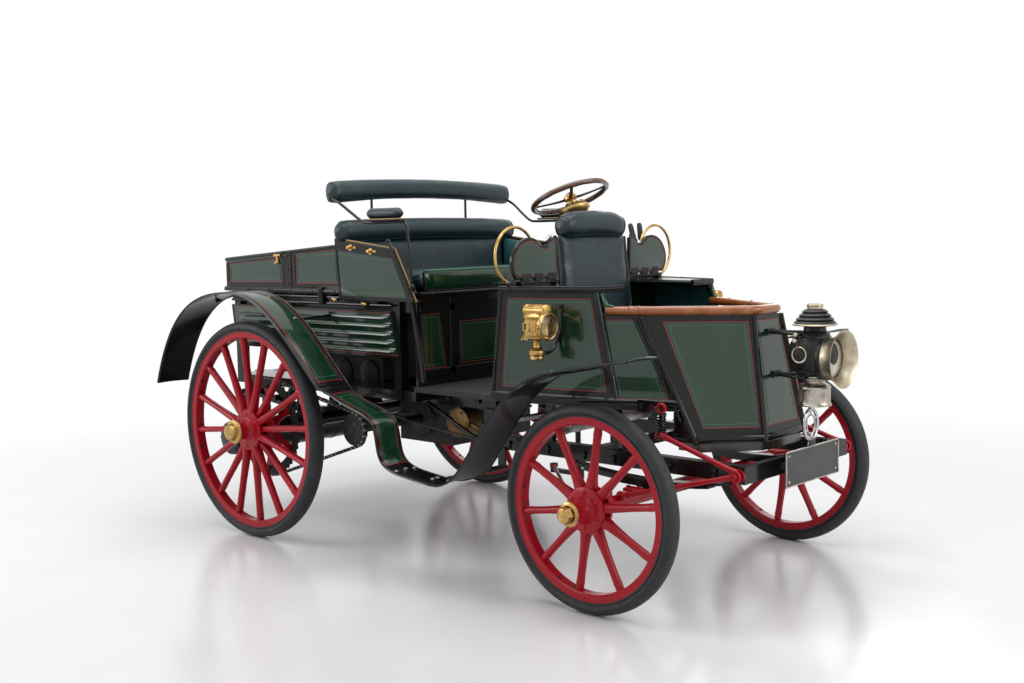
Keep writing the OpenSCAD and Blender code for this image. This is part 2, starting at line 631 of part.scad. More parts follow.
module bamboo_rail() color([0.7, 0.38, 0.16]) place() {
    z = rim_z + rail_d / 2 + seat;
    start = [shelf_front_x + 24, -336, z];
    bend = [bend_x, -288, z];
    nose = [nose_x, -nose_w / 2, z];
    over = rail_d / 3;
    both() {
        bar(start, bend + over * (bend - start) / norm(bend - start), rail_d);
        bar(bend - over * (nose - bend) / norm(nose - bend),
            nose + over * (nose - bend) / norm(nose - bend), rail_d);
    }
    rod = nose_w / 2 + over / 2;
    bar([nose_x, -rod, z], [nose_x, rod, z], rail_d);
}
shelf_t = 16;
wing_x = seat_back_x - 1;
wing_z = shelf_z + 29;
wing_pin_d = 8;
wing_eyes = [-430, -236];
module shelves() color([0.08, 0.08, 0.08]) place() both()
    difference() {
        union() {
            translate([0, 0, shelf_z]) linear_extrude(shelf_t) polygon([[tub_rear_x, -half_w - 4],
                [shelf_front_x + 6, -360], [shelf_front_x + 6, -222], [tub_rear_x, -222]]);
            // hinge eyes of the folding wings
            for (y = wing_eyes)
                block([wing_x - 9, y, shelf_z + shelf_t - 1], [wing_x + 9, y + 8, wing_z + 8]);
        }
        rod_y(wing_x, wing_z, wing_pin_d + 2 * run_gap, wing_eyes[0] - 1, wing_eyes[1] + 9);
    }
module front_seat_back() color([0.09, 0.17, 0.18]) place() {
    side_plate(-front_seat_hw, front_seat_hw) polygon([[seat_back_x - 30, 1246], [seat_back_x + 4, 1246],
        [seat_back_x + 60, 760], [seat_back_x - 20, 760]]);
    rod_y(seat_back_x - 12, 1246 + 48 + seat, 96, -front_seat_hw + 10, front_seat_hw - 10);
}
module front_seat_cushion() color([0.09, 0.17, 0.18]) place() {
    base_z = 760;
    pad([seat_back_x + 60 + seat, -front_seat_hw, base_z], [seat_back_x + 400, front_seat_hw, 850], 20);
    block([seat_back_x - 20, -front_seat_hw, floor_top + seat],
        [seat_back_x + 380, front_seat_hw, base_z - seat]);
}
// folding wings beside the front seat, hinged on the shelves
module wing() place() {
    low = wing_z + 12;
    translate([wing_x - 7, 0, 0]) rotate([90, 0, 90]) linear_extrude(14) union() {
        intersection() {
            translate([-376, 1152]) circle(r = 104);
            translate([-500, low]) square([200, 200]);
        }
        translate([-440, low]) square([216, 60]);
        polygon([[-222, low], [-222, 1248], [-310, 1226], [-376, 1200], [-376, low]]);
    }
    rod_y(wing_x, wing_z, 12, wing_eyes[0] + 9, wing_eyes[1] - 1);
    rod_y(wing_x, wing_z, wing_pin_d, wing_eyes[0] - 2, wing_eyes[1] + 10);
    block([wing_x - 4, wing_eyes[0] + 9, wing_z], [wing_x + 4, wing_eyes[1] - 1, low + 1]);
}
module wing_right() color([0.03, 0.14, 0.09]) wing();
module wing_left() color([0.03, 0.14, 0.09]) mirror([0, 1, 0]) wing();

// --- lamps and plate -------------------------------------------------------
module side_lamps() color([0.8, 0.6, 0.25]) place() both() translate([lamp_x, -lamp_y, 0]) {
    translate([0, 0, 905]) cylinder(r = 52, h = 80);
    translate([0, 0, 985]) cylinder(r1 = 48, r2 = 26, h = 16);
    translate([-50, 0, 1000]) rotate([0, 90, 0]) cylinder(r = 24, h = 110);
    translate([30, 0, 945]) rotate([0, 90, 0]) cylinder(r = 48, h = 34);
    translate([0, 0, 826]) cylinder(r = 28, h = 80);
    grip = side_y(lamp_x, 892) + lamp_y;
    bar([0, 0, 880], [0, grip * 0.7, 850], 14);
    bar([0, grip * 0.7 - 4, 850], [0, grip - 14, 892], 14);
    // bracket plate, one seat gap from the slanted side
    plate = [16, 14, 4];
    slope_x = abs(side_y(lamp_x + 1, 892) - side_y(lamp_x, 892));
    slope_z = abs(side_y(lamp_x, 893) - side_y(lamp_x, 892));
    off = (plate[1] + plate[0] * slope_x + plate[2] * slope_z) / 2 + seat;
    hull() for (z = [880, 1010]) translate([0, side_y(lamp_x, z) + lamp_y - off, z])
        cube(plate, center = true);
}
module headlamp() color([0.12, 0.12, 0.12]) place() {
    translate([head_x, 0, 843]) sphere(r = 86);
    translate([mouth_x - 70, 0, 832]) rotate([0, 90, 0])
        difference() {
            cylinder(r1 = 78, r2 = mouth_d / 2, h = 70);
            translate([0, 0, 30]) cylinder(r1 = 74, r2 = mouth_d / 2 - 4, h = 41);
        }
    translate([head_x + 10, 0, 920]) cylinder(r = 40, h = 40);
    translate([head_x + 10, 0, 948]) cylinder(r1 = 76, r2 = 44, h = 54);
    translate([head_x + 10, 0, 1000]) cylinder(r = 22, h = 20);
    translate([head_x + 10, 0, 668]) cylinder(r = 54, h = 80);
    translate([head_x + 10, 0, 740]) cylinder(r = 30, h = 40);
    for (z = [786, 900]) block([nose_face(z) + 2 * seat, -8, z], [head_x, 8, z + 8]);
}
module number_plate() color([0.3, 0.3, 0.3]) place() {
    difference() {
        block([cross_x + 62, -plate_w / 2, low_rail_z - plate_h / 2],
            [cross_x + 66, plate_w / 2, low_rail_z + plate_h / 2]);
        for (y = [-1, 1], z = [-1, 1]) translate([cross_x + 61,
            y * (plate_w / 2 - 20), low_rail_z + z * (plate_h / 2 - 16)])
                rotate([0, 90, 0]) cylinder(d = 6, h = 6);
    }
    both() block([cross_x + 12, -120, low_rail_z - 10], [cross_x + 62, -100, low_rail_z + 10]);
}

chassis_frame();
floor_boards();
engine_and_gearbox();
water_tank();
silencer();
drive_chains();
front_axle();
rear_axle();
springs();
front_stays();
knuckle_right();
knuckle_left();
tie_rod();
drag_link();
steering_shaft();
steering_column();
steering_wheel();
rear_wheel_right();
rear_wheel_left();
front_wheel_right();
front_wheel_left();
rear_tyre_right();
rear_tyre_left();
front_tyre_right();
front_tyre_left();
fender_right();
fender_left();
louvre_panels();
rear_box();
rear_lid();
bench_frame();
bench_cushion();
bench_back();
head_and_arm_pads();
seat_irons();
front_tub();
bamboo_rail();
shelves();
front_seat_back();
front_seat_cushion();
wing_right();
wing_left();
side_lamps();
headlamp();
number_plate();
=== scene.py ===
import json
import math
import bmesh
import bpy
from mathutils import Matrix, Vector
from mathutils.bvhtree import BVHTree


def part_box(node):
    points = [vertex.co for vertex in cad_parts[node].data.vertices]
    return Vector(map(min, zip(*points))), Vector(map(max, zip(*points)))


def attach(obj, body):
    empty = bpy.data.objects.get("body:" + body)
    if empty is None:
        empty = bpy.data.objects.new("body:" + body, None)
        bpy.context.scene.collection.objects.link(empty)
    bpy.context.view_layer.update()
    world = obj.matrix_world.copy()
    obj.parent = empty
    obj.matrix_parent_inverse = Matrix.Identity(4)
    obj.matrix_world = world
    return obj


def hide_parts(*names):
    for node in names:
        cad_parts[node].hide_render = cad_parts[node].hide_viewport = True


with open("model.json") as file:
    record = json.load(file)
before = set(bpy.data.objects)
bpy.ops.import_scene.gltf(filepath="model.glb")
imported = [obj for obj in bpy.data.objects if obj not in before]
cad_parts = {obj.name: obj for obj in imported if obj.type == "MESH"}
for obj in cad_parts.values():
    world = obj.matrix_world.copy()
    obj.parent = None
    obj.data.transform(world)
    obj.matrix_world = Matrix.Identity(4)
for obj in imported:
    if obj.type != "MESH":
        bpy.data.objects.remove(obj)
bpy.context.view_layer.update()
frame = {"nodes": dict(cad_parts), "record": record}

# ---------------------------------------------------------------------------
# places: millimetres, x forward from the rear axle, y left, z up from the floor
# ---------------------------------------------------------------------------
lo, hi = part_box("rear_axle")
AXLE_X = (lo.x + hi.x) / 2
MM = 0.001
WHEELBASE, DECK_Z = 1786, 1039
SHAFT_X, SHAFT_Z, CHAIN_Y = 560, 500, 618
WING_X, WING_Z = 1299, 1089


def V(*xyz):
    return Vector(xyz)


def P(x, y, z):
    """a place given in millimetres"""
    return V(AXLE_X + x / 1000, y / 1000, z / 1000)


X, Y, Z = V(1, 0, 0), V(0, 1, 0), V(0, 0, 1)


def mix(a, b, t):
    return a + (b - a) * t


def angles(n, shift=0.0):
    return [math.tau * (i + shift) / n for i in range(n)]


def circle(n, u, w, shift=0.0):
    """n unit directions round a circle from u towards w"""
    return [u * math.cos(a) + w * math.sin(a) for a in angles(n, shift)]


def toothed(teeth, root, tip, u, w):
    """points round a toothed wheel, four to a tooth"""
    return [v * (tip if i % 4 in (1, 2) else root) for i, v in enumerate(circle(teeth * 4, u, w))]


# ---------------------------------------------------------------------------
# camera
# ---------------------------------------------------------------------------
YAW, PITCH, ROLL = 0.7435, 0.0897, -0.0175
SENSOR_MM, FOCAL_PX, IMAGE_PX = 36, 1233.45, 1024
ahead = V(-math.sin(YAW) * math.cos(PITCH), math.cos(YAW) * math.cos(PITCH), -math.sin(PITCH))
right = V(math.cos(YAW), math.sin(YAW), 0)
up = right.cross(ahead)
cam_right = right * math.cos(ROLL) + up * math.sin(ROLL)
cam_up = up * math.cos(ROLL) - right * math.sin(ROLL)
cam_data = bpy.data.cameras.new("camera")
cam_data.sensor_width = SENSOR_MM
cam_data.lens = SENSOR_MM * FOCAL_PX / IMAGE_PX
cam = bpy.data.objects.new("camera", cam_data)
turn = Matrix((cam_right, cam_up, -ahead)).transposed().to_4x4()
cam.matrix_world = Matrix.Translation(P(4337, -3783, 1282)) @ turn
bpy.context.scene.collection.objects.link(cam)
bpy.context.scene.camera = cam


# ---------------------------------------------------------------------------
# materials
# ---------------------------------------------------------------------------
class Mat:
    """a node material: noise-driven colour, roughness and bump round a Principled shader"""

    def __init__(self, name, **sockets):
        self.m = bpy.data.materials.new(name)
        self.m.use_nodes = True
        self.t = self.m.node_tree
        self.b = self.t.nodes["Principled BSDF"]
        self.co = self.t.nodes.new("ShaderNodeTexCoord")
        for k, v in sockets.items():
            self.b.inputs[k.replace("_", " ")].default_value = v

    def node(self, kind, **kw):
        n = self.t.nodes.new("ShaderNode" + kind)
        for k, v in kw.items():
            if k in n.inputs:
                n.inputs[k].default_value = v
            else:
                setattr(n, k, v)
        return n

    def link(self, a, b):
        self.t.links.new(a, b)

    def noise(self, scale, detail=4.0, rough=0.55, stretch=None):
        n = self.node("TexNoise", Scale=scale, Detail=detail, Roughness=rough)
        place = self.co.outputs["Object"]
        if stretch:
            mp = self.node("Mapping", Scale=stretch)
            self.link(place, mp.inputs["Vector"])
            place = mp.outputs["Vector"]
        self.link(place, n.inputs["Vector"])
        return n.outputs["Fac"]

    def colour(self, fac, stops):
        r = self.node("ValToRGB")
        e = r.color_ramp.elements
        while len(e) < len(stops):
            e.new(0.5)
        for q, (p, c) in zip(e, stops):
            q.position = p
            q.color = (*c, 1)
        self.link(fac, r.inputs["Fac"])
        self.link(r.outputs["Color"], self.b.inputs["Base Color"])

    def map_range(self, value, lo, hi, a, b):
        r = self.node("MapRange", **{"From Min": lo, "From Max": hi, "To Min": a, "To Max": b})
        self.link(value, r.inputs["Value"])
        return r.outputs["Result"]

    def rough(self, fac, a, b):
        self.link(self.map_range(fac, 0.3, 0.7, a, b), self.b.inputs["Roughness"])

    def bump(self, *layers):
        """layers of (height, strength, distance), each on top of the last"""
        last = None
        for fac, strength, dist in layers:
            n = self.node("Bump", Strength=strength, Distance=dist)
            self.link(fac, n.inputs["Height"])
            if last:
                self.link(last, n.inputs["Normal"])
            last = n.outputs["Normal"]
        self.link(last, self.b.inputs["Normal"])

    def coat(self, weight, rough):
        self.b.inputs["Coat Weight"].default_value = weight
        self.b.inputs["Coat Roughness"].default_value = rough


def paint(name, dark, light, rough=(0.13, 0.20), coat=0.55, spec=0.35):
    m = Mat(name, Specular_IOR_Level=spec)
    m.colour(m.noise(5, 3), [(0.3, dark), (0.7, light)])
    m.rough(m.noise(9, 3), *rough)
    m.bump((m.noise(420, 2), 0.02, 0.0003), (m.noise(14, 2), 0.012, 0.0015))
    m.coat(coat, 0.04)
    return m.m


green = paint("green_paint", (0.0040, 0.0270, 0.0120), (0.0058, 0.0370, 0.0170), coat=0.6)
black = paint("black_paint", (0.0045, 0.0047, 0.0055), (0.0085, 0.0087, 0.0100), rough=(0.14, 0.24), coat=0.22,
              spec=0.2)
red = paint("red_paint", (0.33, 0.0035, 0.012), (0.42, 0.0060, 0.018), rough=(0.26, 0.38), coat=0.12, spec=0.22)
stripe_red = paint("red_line", (0.30, 0.010, 0.016), (0.38, 0.016, 0.024), rough=(0.3, 0.5), coat=0.2)
stripe_green = paint("green_line", (0.035, 0.150, 0.078), (0.052, 0.19, 0.10), rough=(0.3, 0.5), coat=0.2)


def make_brass(name, a, b, c, rough=(0.18, 0.42)):
    m = Mat(name, Metallic=1.0)
    m.colour(m.noise(30, 6, 0.65), [(0.25, a), (0.5, b), (0.78, c)])
    m.rough(m.noise(90, 5), *rough)
    m.bump((m.noise(700, 2), 0.06, 0.0003), (m.noise(60, 3), 0.06, 0.001))
    return m.m


brass = make_brass("brass", (0.25, 0.145, 0.045), (0.47, 0.295, 0.105), (0.62, 0.43, 0.18), (0.22, 0.45))
old_brass = make_brass("old_brass", (0.28, 0.24, 0.165), (0.48, 0.42, 0.31), (0.60, 0.54, 0.42), (0.28, 0.5))
nickel = make_brass("nickel", (0.22, 0.19, 0.155), (0.42, 0.375, 0.32), (0.56, 0.52, 0.46), (0.2, 0.42))
bronze = make_brass("bronze", (0.07, 0.045, 0.024), (0.19, 0.12, 0.055), (0.31, 0.21, 0.10), (0.4, 0.65))
tin = make_brass("tin", (0.20, 0.20, 0.19), (0.36, 0.35, 0.33), (0.46, 0.45, 0.42), (0.3, 0.5))
steel = make_brass("steel", (0.26, 0.26, 0.27), (0.42, 0.42, 0.43), (0.52, 0.52, 0.53), (0.28, 0.5))
# pale cream paint for the bow lamp's lens: painted reflection, standing in for the light its glass and reflector
# give back
lens = paint("lens_cream_painted_reflection", (0.40, 0.375, 0.31), (0.50, 0.47, 0.40), rough=(0.2, 0.3), coat=0.6)
chrome = make_brass("chrome", (0.30, 0.31, 0.32), (0.48, 0.49, 0.50), (0.62, 0.63, 0.64), (0.08, 0.2))
lamp_black = paint("lamp_black_paint", (0.006, 0.006, 0.0065), (0.012, 0.012, 0.013), rough=(0.34, 0.48), coat=0.08,
                   spec=0.3)


def make_iron():
    m = Mat("iron", Metallic=0.55)
    m.colour(m.noise(40, 6, 0.7), [(0.3, (0.012, 0.012, 0.013)), (0.6, (0.030, 0.028, 0.027)),
                                   (0.85, (0.075, 0.058, 0.045))])
    m.rough(m.noise(70, 4), 0.32, 0.62)
    m.bump((m.noise(240, 4), 0.22, 0.0012))
    return m.m


def make_rubber():
    m = Mat("rubber", Specular_IOR_Level=0.28)
    m.colour(m.noise(14, 6, 0.65), [(0.25, (0.021, 0.022, 0.024)), (0.55, (0.031, 0.032, 0.035)),
                                    (0.85, (0.050, 0.050, 0.052))])
    m.rough(m.noise(60, 4), 0.44, 0.68)
    m.bump((m.noise(900, 2), 0.12, 0.0004), (m.noise(90, 4), 0.10, 0.001))
    return m.m


def make_leather(name, a, b, c):
    m = Mat(name, Specular_IOR_Level=0.38)
    v = m.node("TexVoronoi", Scale=430.0)
    m.link(m.co.outputs["Object"], v.inputs["Vector"])
    crease = m.noise(23, 5, 0.6)
    m.colour(m.noise(9, 5, 0.6), [(0.28, a), (0.55, b), (0.8, c)])
    m.rough(m.noise(34, 4), 0.30, 0.50)
    m.bump((v.outputs["Distance"], 0.22, 0.0009), (crease, 0.26, 0.0035))
    m.coat(0.12, 0.3)
    return m.m


def make_wood(name, stops, stretch, rough=(0.2, 0.35), coat=0.6):
    m = Mat(name)
    m.colour(m.noise(16, 8, 0.62, stretch), stops)
    m.rough(m.noise(50, 4), *rough)
    m.bump((m.noise(60, 6, 0.6, stretch), 0.12, 0.0008))
    m.coat(coat, 0.12)
    return m.m


iron = make_iron()
rubber = make_rubber()
leather = make_leather("leather", (0.0045, 0.0145, 0.0195), (0.0075, 0.0235, 0.0300), (0.0135, 0.037, 0.045))
# lighter copy of the leather: painted light, brightened so the linings in the shaded tub read as lit
lit_lining = make_leather("lining_leather_painted_light", (0.030, 0.105, 0.115), (0.042, 0.140, 0.150), (0.058, 0.180, 0.19))
piping = paint("gold_piping", (0.30, 0.19, 0.075), (0.40, 0.27, 0.12), rough=(0.4, 0.6), coat=0.1)
# darker copy of the wood for the board under the bow's band: painted shade on top of the wood's own tone
wood_painted_shade = make_wood("wood_painted_shade", [(0.3, (0.009, 0.005, 0.003)), (0.6, (0.020, 0.010, 0.006)),
                                          (0.8, (0.036, 0.020, 0.011))], (6, 6, 6))
dark_wood = make_wood("wood", [(0.3, (0.055, 0.020, 0.009)), (0.6, (0.12, 0.048, 0.020)),
                               (0.8, (0.19, 0.085, 0.036))], (6, 6, 6))
bamboo = make_wood("bamboo", [(0.3, (0.21, 0.052, 0.010)), (0.55, (0.34, 0.100, 0.022)),
                              (0.8, (0.46, 0.165, 0.042))], (1, 1, 1), (0.2, 0.3), 0.35)
bamboo_dark = make_wood("bamboo_node", [(0.3, (0.13, 0.035, 0.012)), (0.7, (0.26, 0.085, 0.03))], (3, 3, 3))
mat_grey = Mat("floor_cloth", Specular_IOR_Level=0.4)
mat_grey.colour(mat_grey.noise(30, 6), [(0.3, (0.012, 0.013, 0.014)), (0.7, (0.024, 0.025, 0.027))])
mat_grey.rough(mat_grey.noise(50, 4), 0.5, 0.75)
mat_grey.bump((mat_grey.noise(300, 3), 0.2, 0.001))
floor_cloth = mat_grey.m
plate_paint = paint("plate_grey", (0.028, 0.029, 0.031), (0.040, 0.041, 0.044), rough=(0.35, 0.55), coat=0.2)


def make_glass():
    m = Mat("lamp_glass", Roughness=0.03, IOR=1.45)
    m.b.inputs["Transmission Weight"].default_value = 1.0
    m.colour(m.noise(12, 2), [(0.3, (0.93, 0.95, 0.94)), (0.7, (0.98, 0.99, 0.98))])
    m.bump((m.noise(40, 2), 0.03, 0.0008))
    return m.m


glass = make_glass()

# CAD nodes that keep their shape get their finish here
FINISH = {"black_paint": black, "green_paint": green, "red_paint": red, "tyre": rubber, "leather": leather,
          "brass": brass, "wood": dark_wood, "bamboo": bamboo, "iron": iron, "tinned_metal": tin,
          "floor_cloth": floor_cloth, "lamp_black": black, "plate_black": plate_paint}
SLOT = {s["node"]: s["material_slot"] for s in frame["record"]["subparts"]}
for name, obj in frame["nodes"].items():
    m = FINISH[SLOT[name]]
    if obj.material_slots:
        for s in obj.material_slots:
            s.material = m
    else:
        obj.data.materials.append(m)


# ---------------------------------------------------------------------------
# mesh code
# ---------------------------------------------------------------------------
def frame_of(d):
    """two directions square to d"""
    d = d.normalized()
    a = V(0, 0, 1) if abs(d.z) < 0.9 else V(1, 0, 0)
    u = a.cross(d).normalized()
    return u, d.cross(u)


class Build:
    """collects many shapes into one mesh; mat is a place in the list of materials that done gets"""

    def __init__(self):
        self.v = []
        self.f = []
        self.m = []

    def add(self, verts, faces, mat=0):
        n = len(self.v)
        self.v += [Vector(p) for p in verts]
        self.f += [tuple(i + n for i in f) for f in faces]
        self.m += [mat] * len(faces)

    def grid(self, rows, mat=0, close_u=False, close_v=False):
        """rows of points, all as long, joined into quads"""
        nr, nc = len(rows), len(rows[0])
        f = []
        for i in range(nr if close_u else nr - 1):
            for j in range(nc if close_v else nc - 1):
                i2, j2 = (i + 1) % nr, (j + 1) % nc
                f.append((i * nc + j, i2 * nc + j, i2 * nc + j2, i * nc + j2))
        self.add([p for r in rows for p in r], f, mat)

    def lathe(self, o, d, profile, n=48, mat=0, closed=False):
        """profile of (radius, distance along d) turned about the line from o along d"""
        d = d.normalized()
        self.grid([[o + c * r + d * h for r, h in profile] for c in circle(n, *frame_of(d))],
                  mat, close_u=True, close_v=closed)

    def tube(self, pts, r, n=12, mat=0, closed=False, flat=1.0, radii=None):
        """a round bar along pts; radii gives one radius a point; flat squashes it one way"""
        k = len(pts)
        rows = []
        u = None
        for i in range(k):
            if closed:
                t = pts[(i + 1) % k] - pts[i - 1]
            else:
                t = pts[min(i + 1, k - 1)] - pts[max(i - 1, 0)]
            t.normalize()
            u = frame_of(t)[0] if u is None else (u - t * u.dot(t)).normalized()
            q = radii[i] if radii else r
            rows.append([pts[i] + v * q for v in circle(n, u, t.cross(u) * flat)])
        self.grid(rows, mat, close_u=closed, close_v=True)
        if not closed:
            self.add(rows[0], [tuple(range(n))], mat)
            self.add(rows[-1], [tuple(reversed(range(n)))], mat)

    def rod(self, a, b, r, n=16, mat=0):
        self.tube([a, b], r, n, mat)

    def sphere(self, c, r, mat=0, n=20, squash=(1, 1, 1)):
        sx, sy, sz = squash
        rows = []
        for i in range(n // 2 + 1):
            t = math.pi * i / (n // 2)
            rows.append([c + (v * math.sin(t) + Z * (math.cos(t) * sz)) * r
                         for v in circle(n, X * sx, Y * sy)])
        self.grid(rows, mat, close_v=True)

    def block(self, c, half, mat=0, bev=0.0015, axes=(X, Y, Z)):
        """a box about c with these half sizes along its axes, its edges bevelled"""
        x, y, z = axes
        hx, hy, hz = half
        b = min(bev, hx * 0.9, hy * 0.9, hz * 0.9)
        idx = {}
        verts = []
        for sx in (-1, 1):
            for sy in (-1, 1):
                for sz in (-1, 1):
                    for k in range(3):
                        h = [hx - b, hy - b, hz - b]
                        h[k] += b
                        idx[sx, sy, sz, k] = len(verts)
                        verts.append(c + x * sx * h[0] + y * sy * h[1] + z * sz * h[2])
        f = []
        s2 = (-1, 1)
        for s in s2:
            f.append([idx[s, -1, -1, 0], idx[s, 1, -1, 0], idx[s, 1, 1, 0], idx[s, -1, 1, 0]][::s])
            f.append([idx[-1, s, -1, 1], idx[-1, s, 1, 1], idx[1, s, 1, 1], idx[1, s, -1, 1]][::s])
            f.append([idx[-1, -1, s, 2], idx[1, -1, s, 2], idx[1, 1, s, 2], idx[-1, 1, s, 2]][::s])
        for a in s2:
            for q in s2:
                f.append([idx[a, q, -1, 0], idx[a, q, -1, 1], idx[a, q, 1, 1], idx[a, q, 1, 0]])
                f.append([idx[a, -1, q, 0], idx[a, -1, q, 2], idx[a, 1, q, 2], idx[a, 1, q, 0]])
                f.append([idx[-1, a, q, 1], idx[-1, a, q, 2], idx[1, a, q, 2], idx[1, a, q, 1]])
        for a in s2:
            for q in s2:
                for r in s2:
                    f.append([idx[a, q, r, 0], idx[a, q, r, 1], idx[a, q, r, 2]])
        self.add(verts, f, mat)

    def slab(self, loop, thick, mat=0):
        """a flat or bent plate: loop of points is its outer face, thick a vector to its inner face"""
        n = len(loop)
        self.add(list(loop) + [p + thick for p in loop],
                 [tuple(range(n)), tuple(reversed(range(n, 2 * n)))]
                 + [(i, i + n, (i + 1) % n + n, (i + 1) % n) for i in range(n)], mat)

    def bolt(self, c, d, r, h, mat=0, sides=6):
        """a bolt head with a domed top"""
        self.lathe(c, d, [(0, h), (r * 0.55, h), (r * 0.92, h * 0.82), (r, h * 0.6), (r, 0)], sides, mat)

    def done(self, name, body, mats, slot, replaces=(), angle=38):
        """make the object; edges sharper than angle degrees stay sharp"""
        me = bpy.data.meshes.new(name)
        me.from_pydata([tuple(p) for p in self.v], [], self.f)
        me.update()
        for m in mats:
            me.materials.append(m)
        me.polygons.foreach_set("material_index", self.m)
        me.polygons.foreach_set("use_smooth", [True] * len(me.polygons))
        o = bpy.data.objects.new(name, me)
        bpy.context.scene.collection.objects.link(o)
        b = bmesh.new()
        b.from_mesh(me)
        bmesh.ops.remove_doubles(b, verts=b.verts, dist=1e-6)
        bmesh.ops.recalc_face_normals(b, faces=b.faces)
        b.to_mesh(me)
        b.free()
        me.set_sharp_from_angle(angle=math.radians(angle))
        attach(o, body)
        if replaces:
            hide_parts(*replaces)
        return o


def bez(p, t):
    a, b, c, d = p
    return a * (1 - t) ** 3 + b * 3 * t * (1 - t) ** 2 + c * 3 * t * t * (1 - t) + d * t ** 3


def smooth_path(pts, n=8):
    """a Catmull-Rom curve through pts"""
    out = []
    for i in range(len(pts) - 1):
        a, b, c, d = pts[max(i - 1, 0)], pts[i], pts[i + 1], pts[min(i + 2, len(pts) - 1)]
        for j in range(n):
            t = j / n
            out.append(((b * 2) + (c - a) * t + (a * 2 - b * 5 + c * 4 - d) * t * t
                        + (b * 3 - a - c * 3 + d) * t ** 3) / 2)
    out.append(pts[-1])
    return out


# -- panels with bands and lines -------------------------------------------
class Quad:
    """a four-sided panel: a-b along the top, d-c along the foot; out points away from the body"""

    def __init__(self, a, b, c, d, out):
        self.c = (a, b, c, d)
        n = (b - a).cross(d - a)
        self.s = 1 if n.dot(out) > 0 else -1
        self.w = ((b - a).length + (c - d).length) / 2
        self.h = ((d - a).length + (c - b).length) / 2

    def at(self, s, t, h=0.0):
        a, b, c, d = self.c
        p = mix(mix(a, b, s), mix(d, c, s), t)
        du = mix(b - a, c - d, t)
        dv = mix(d - a, c - b, s)
        return p + du.cross(dv).normalized() * (self.s * h)

    def loop(self, l, t, r, b, h, n=10):
        """a loop set in by l, t, r, b metres from the four sides"""
        s0, s1, t0, t1 = l / self.w, 1 - r / self.w, t / self.h, 1 - b / self.h
        at = [(s0, t0), (s1, t0), (s1, t1), (s0, t1), (s0, t0)]
        return [self.at(mix(p[0], q[0], i / n), mix(p[1], q[1], i / n), h)
                for p, q in zip(at, at[1:]) for i in range(n)]

    def ring(self, b, outer, inner, h0, h1, mat, n=10):
        b.grid([self.loop(*side, h, n) for side, h in ((outer, h0), (outer, h1), (inner, h1), (inner, h0))],
               mat, close_v=True)

    def face(self, b, h, mat, inset=0.0, n=10):
        ds, dt = inset / self.w, inset / self.h
        b.grid([[self.at(mix(ds, 1 - ds, i / n), mix(dt, 1 - dt, j / n), h) for j in range(n + 1)]
                for i in range(n + 1)], mat)

    def board(self, b, thick, mat, n=10):
        """a solid panel whose outer face is the quad"""
        self.face(b, 0, mat, 0, n)
        self.face(b, -thick, mat, 0, n)
        b.grid([self.loop(0, 0, 0, 0, 0, n), self.loop(0, 0, 0, 0, -thick, n)], mat, close_v=True)

    def trim(self, b, band, mats, h=0.003, line=0.0024, gap=0.011, line2=0.0017):
        """band of moulding round the edge, then a red line, then a light green line"""
        m_band, m_red, m_green = mats
        if max(band) > 0:
            self.ring(b, (0, 0, 0, 0), band, -0.001, h, m_band)
        for d, width, height, mat in ((0, line, 0.0012, m_red), (line + gap, line2, 0.0010, m_green)):
            self.ring(b, [v + d for v in band], [v + d + width for v in band], 0.0, height, mat)


# ---------------------------------------------------------------------------
# wheels and tyres
# ---------------------------------------------------------------------------
FRONT_R, REAR_R = 0.355, 0.460
FRONT_RIM, REAR_RIM = 0.311, 0.416
FELLOE_HALF, FELLOE_DEPTH = 0.023, 0.027
BARREL_R = 0.036


